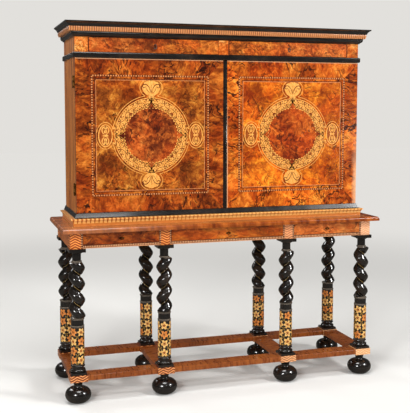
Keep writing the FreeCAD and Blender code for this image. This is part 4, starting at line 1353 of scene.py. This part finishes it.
def petal(middle, reach, angle, shape):
    """A rounded petal or leaf: how far out its middle lies, its half length and its half width."""
    distance, length, width = shape
    c, s = math.cos(angle), math.sin(angle)
    outline = []
    for index in range(PETAL_STEPS):
        turn = 2 * math.pi * index / PETAL_STEPS
        along, over = distance + length * math.cos(turn), width * math.sin(turn)
        outline.append((middle[0] + reach * (along * c - over * s),
                        middle[1] + reach * FLOWER_STRETCH * (along * s + over * c)))
    centre = (middle[0] + reach * distance * c, middle[1] + reach * FLOWER_STRETCH * distance * s)
    return outline, centre


def flower(petals, shades, hearts, middle, reach, count, turn):
    """Round petals with a thin dark gap between them, each shaded at its foot, round a small heart."""
    width = math.sin(math.pi / count) * 0.6 - PETAL_GAP
    for index in range(count):
        angle = turn + 2 * math.pi * index / count
        petals.plate(*petal(middle, reach, angle, (0.58, 0.42, width)))
        shades.plate(*petal(middle, reach, angle, (0.32, 0.17, width * 0.36)))
    hearts.plate(*petal(middle, reach, 0.0, (0.0, 0.17, 0.17)))


def floral_sleeves():
    """Rows of flowers with leaves between them, round each of the eight sleeves."""
    chance = random.Random(7)
    finishes = {"pale": petal_pale, "orange": petal_orange, "leaf": leaf_green, "shade": petal_shade,
                "heart": petal_heart}
    sheets = {}
    for name, finish in finishes.items():
        lift = LINE_LIFT if name in ("shade", "heart") else LIGHT_LIFT
        sheets[name] = Veneers(f"sleeve_{name}", "stand_and_case", "floral_marquetry", finish, None, lift)
    height = (sleeve_high.z - sleeve_low.z) / MM
    girth = 2 * math.pi * SLEEVE_RADIUS
    column, row = girth / FLOWER_COLUMNS, height / FLOWER_ROWS
    for leg in LEGS:
        lay = round_column(leg_middle(leg), SLEEVE_RADIUS * MM, sleeve_low.z)
        for sheet in sheets.values():
            sheet.lay = lay
        start = chance.uniform(0, column)
        for across in range(FLOWER_COLUMNS):
            for up in range(FLOWER_ROWS):
                middle = (start + across * column + chance.uniform(-1, 1),
                          (up + 0.5) * row + chance.uniform(-0.6, 0.6))
                petals = sheets[chance.choice(ORANGE_LEG if leg in REDDER_LEGS else PALE_LEG)]
                flower(petals, sheets["shade"], sheets["heart"], middle,
                       FLOWER_REACH * chance.uniform(0.94, 1.02), chance.choice((5, 5, 6)),
                       chance.uniform(0, math.pi))
                corner = (start + (across + 0.5) * column, up * row)
                for turn in (0.25, 0.75, 1.25, 1.75):
                    if up or turn < 1:
                        angle = math.pi * turn + chance.uniform(-0.2, 0.2)
                        foot = (corner[0], max(corner[1], 3.5))
                        sheets["leaf"].plate(*petal(foot, LEAF_REACH, angle, (0.62, 0.46, 0.24)))
    for sheet in sheets.values():
        sheet.done()
    return sum(sheet.count for sheet in sheets.values())


def twist_lines():
    """A fine pale line along the bead in the groove of each twist."""
    made = Veneers("twist_lines", "stand_and_case", "ebonised", twist_pale_line, None, LIGHT_LIFT)
    run = (TWIST_HEAD - TWIST_FOOT) / MM - 2 * PALE_LINE_INSET
    points = [(0.0, PALE_LINE_INSET + run * index / PALE_LINE_STEPS) for index in range(PALE_LINE_STEPS + 1)]
    for leg, start, hand in zip(LEGS, TWIST_STARTS, TWIST_HANDS):
        middle = leg_middle(leg)

        def lay(u, w, lift, middle=middle, start=start, hand=hand):
            angle = 2 * math.pi * (start + hand * w / TWIST_PITCH) + math.pi + u / TWIST_LINE_RADIUS
            radius = TWIST_LINE_RADIUS + lift
            return Vector((middle[0] + radius * math.cos(angle), middle[1] + radius * math.sin(angle),
                           TWIST_FOOT + w))

        made.lay = lay
        made.line(points, PALE_LINE_WIDTHS)
    made.done()


petal_pale = light_wood("petal_pale", paints((216, 158, 78), (242, 200, 124)), paint(190, 118, 48), 300)
petal_orange = light_wood("petal_orange", paints((200, 112, 40), (228, 148, 70)), paint(160, 78, 26), 300)
petal_shade = light_wood("petal_shade", paints((150, 82, 28), (182, 108, 46)), paint(104, 50, 16), 300)
petal_heart = light_wood("petal_heart", paints((112, 52, 18), (146, 76, 30)), paint(70, 30, 12), 300)
leaf_green = light_wood("leaf_green", paints((130, 96, 36), (166, 128, 54)), paint(84, 58, 22), 300)
twist_pale_line = light_wood("twist_pale_line", paints((116, 90, 44), (168, 136, 74)), paint(58, 44, 22), 300)
print(f"{floral_sleeves()} pieces in the flowers of {len(LEGS)} sleeves")
twist_lines()
